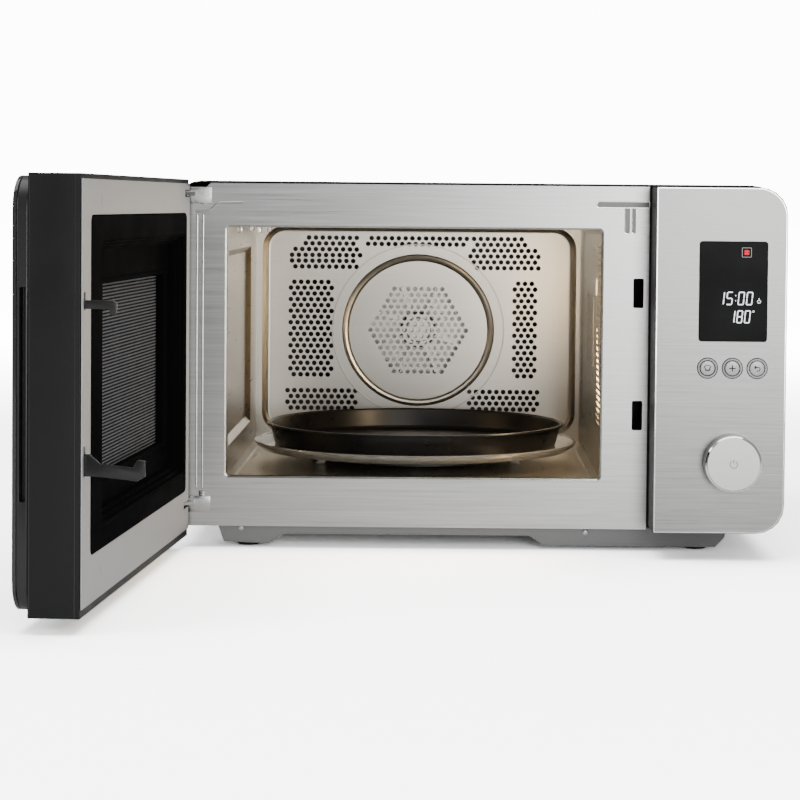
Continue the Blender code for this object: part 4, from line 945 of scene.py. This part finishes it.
reach = maths(screen, "ADD", cell(parts.outputs[0]), cell(parts.outputs[2]))
hole = maths(screen, "LESS_THAN", reach, HOLE_REACH)
# Inside the holes the colour is a painted light grey, painted light for what shows through them.
surface_of(screen, Base_Color=between(screen, hole, "#040405", "#85888c"), IOR=1.04,
           Roughness=between(screen, grain(screen, (40, 40, 40), 2), 0.5, 0.65),
           Normal=relief(screen, hole, -0.0003, 0.4))
eased_copy("door_screen", "door", 0.0001, screen, 1)

# Latch slide: one moulded piece with two hooks that pass through the steel panel.
eased_copy("latch_slide", "latch", 0.0007, moulded("latch_hook_black_acetal", "#080808", "#0d0d0d", 0.28), 3)


# ---------------------------------------------------------------------------
# Studio: a pale seamless floor, a bright surround and soft boxes, with a small warm
# light where the cavity lamp shines through its grille.
floor_work = bmesh.new()
bmesh.ops.create_grid(floor_work, x_segments=1, y_segments=1, size=30)
floor_mesh = bpy.data.meshes.new("studio_floor")
floor_work.to_mesh(floor_mesh)
floor_work.free()
# The paper and the surround look brighter to the camera than the light they give.
PAPER_SEEN, PAPER_GLOW, SURROUND_SEEN, SURROUND_LIGHT = 4.4, 12.0, 12.6, 0.4
paper = new_finish("white_studio_paper")
fibre = grain(paper, (30, 30, 30), 2)
seen = add_node(paper, "ShaderNodeLightPath")
brighter = maths(paper, "MULTIPLY_ADD", seen.outputs["Is Camera Ray"], PAPER_SEEN, 1.0)
shade = add_node(paper, "ShaderNodeVectorMath", {0: between(paper, fibre, "#f4f4f4", "#f7f7f7"),
                                                 "Scale": brighter}, operation="SCALE")
floor_coords = add_node(paper, "ShaderNodeTexCoord")
away = add_node(paper, "ShaderNodeVectorMath", {0: floor_coords.outputs["Object"]}, operation="LENGTH")
fade = add_node(paper, "ShaderNodeMapRange", {"Value": away.outputs["Value"], "From Min": 0.9, "From Max": 3.5,
                                              "To Min": 0.0, "To Max": 1.0}, interpolation_type="SMOOTHSTEP")
far_seen = maths(paper, "MULTIPLY", fade.outputs[0], seen.outputs["Is Camera Ray"])
surface_of(paper, Base_Color=shade.outputs[0], Roughness=0.9, Specular_IOR_Level=0.0, Emission_Color=linear("#ffffff"),
           Emission_Strength=maths(paper, "MULTIPLY", far_seen, PAPER_GLOW))
floor_mesh.materials.append(paper)
floor = bpy.data.objects.new("studio_floor", floor_mesh)
bpy.context.collection.objects.link(floor)


def soft_box(name, where, target, width, height, energy, colour=(1, 1, 1)):
    """A rectangular soft light that looks from a place at a target."""
    light = bpy.data.lights.new(name, "AREA")
    light.shape, light.size, light.size_y = "RECTANGLE", width, height
    light.energy, light.color = energy, colour
    made = bpy.data.objects.new(name, light)
    aim = (Vector(target) - Vector(where)).to_track_quat("-Z", "Y").to_matrix().to_4x4()
    made.matrix_world = Matrix.Translation(where) @ aim
    bpy.context.collection.objects.link(made)


soft_box("key_box", (0.62, -2.5, 0.35), (0.1, -0.1, 0.2), 0.7, 1.6, 34)
soft_box("top_box", (0.0, -0.2, 2.6), (0.0, 0.0, 0.0), 3.0, 2.4, 70)
soft_box("left_box", (-2.6, -1.6, 1.2), (0.0, -0.1, 0.2), 1.0, 1.6, 22)
lamp_spot = body_seat @ Vector((in_x1 - 0.003, 0.055, open_z0 + 0.14))
soft_box("cavity_lamp_glow", lamp_spot, lamp_spot + Vector((-1, 0.15, -0.1)), 0.05, 0.16, 0.95, (1.0, 0.76, 0.46))
fill_spot = body_seat @ Vector((rear_c.x, 0.012, open_z1 - 0.006))
soft_box("cavity_fill", fill_spot, fill_spot + Vector((0, 1, -0.55)), 0.30, 0.008, 0.16, (1.0, 0.97, 0.92))
surround = bpy.data.worlds.new("studio_surround")
surround.use_nodes = True
path = add_node(surround, "ShaderNodeLightPath")
level = maths(surround, "MULTIPLY_ADD", path.outputs["Is Camera Ray"], SURROUND_SEEN, SURROUND_LIGHT)
fill_inputs(surround, surround.node_tree.nodes["Background"], {"Color": (1, 1, 1, 1), "Strength": level})
bpy.context.scene.world = surround
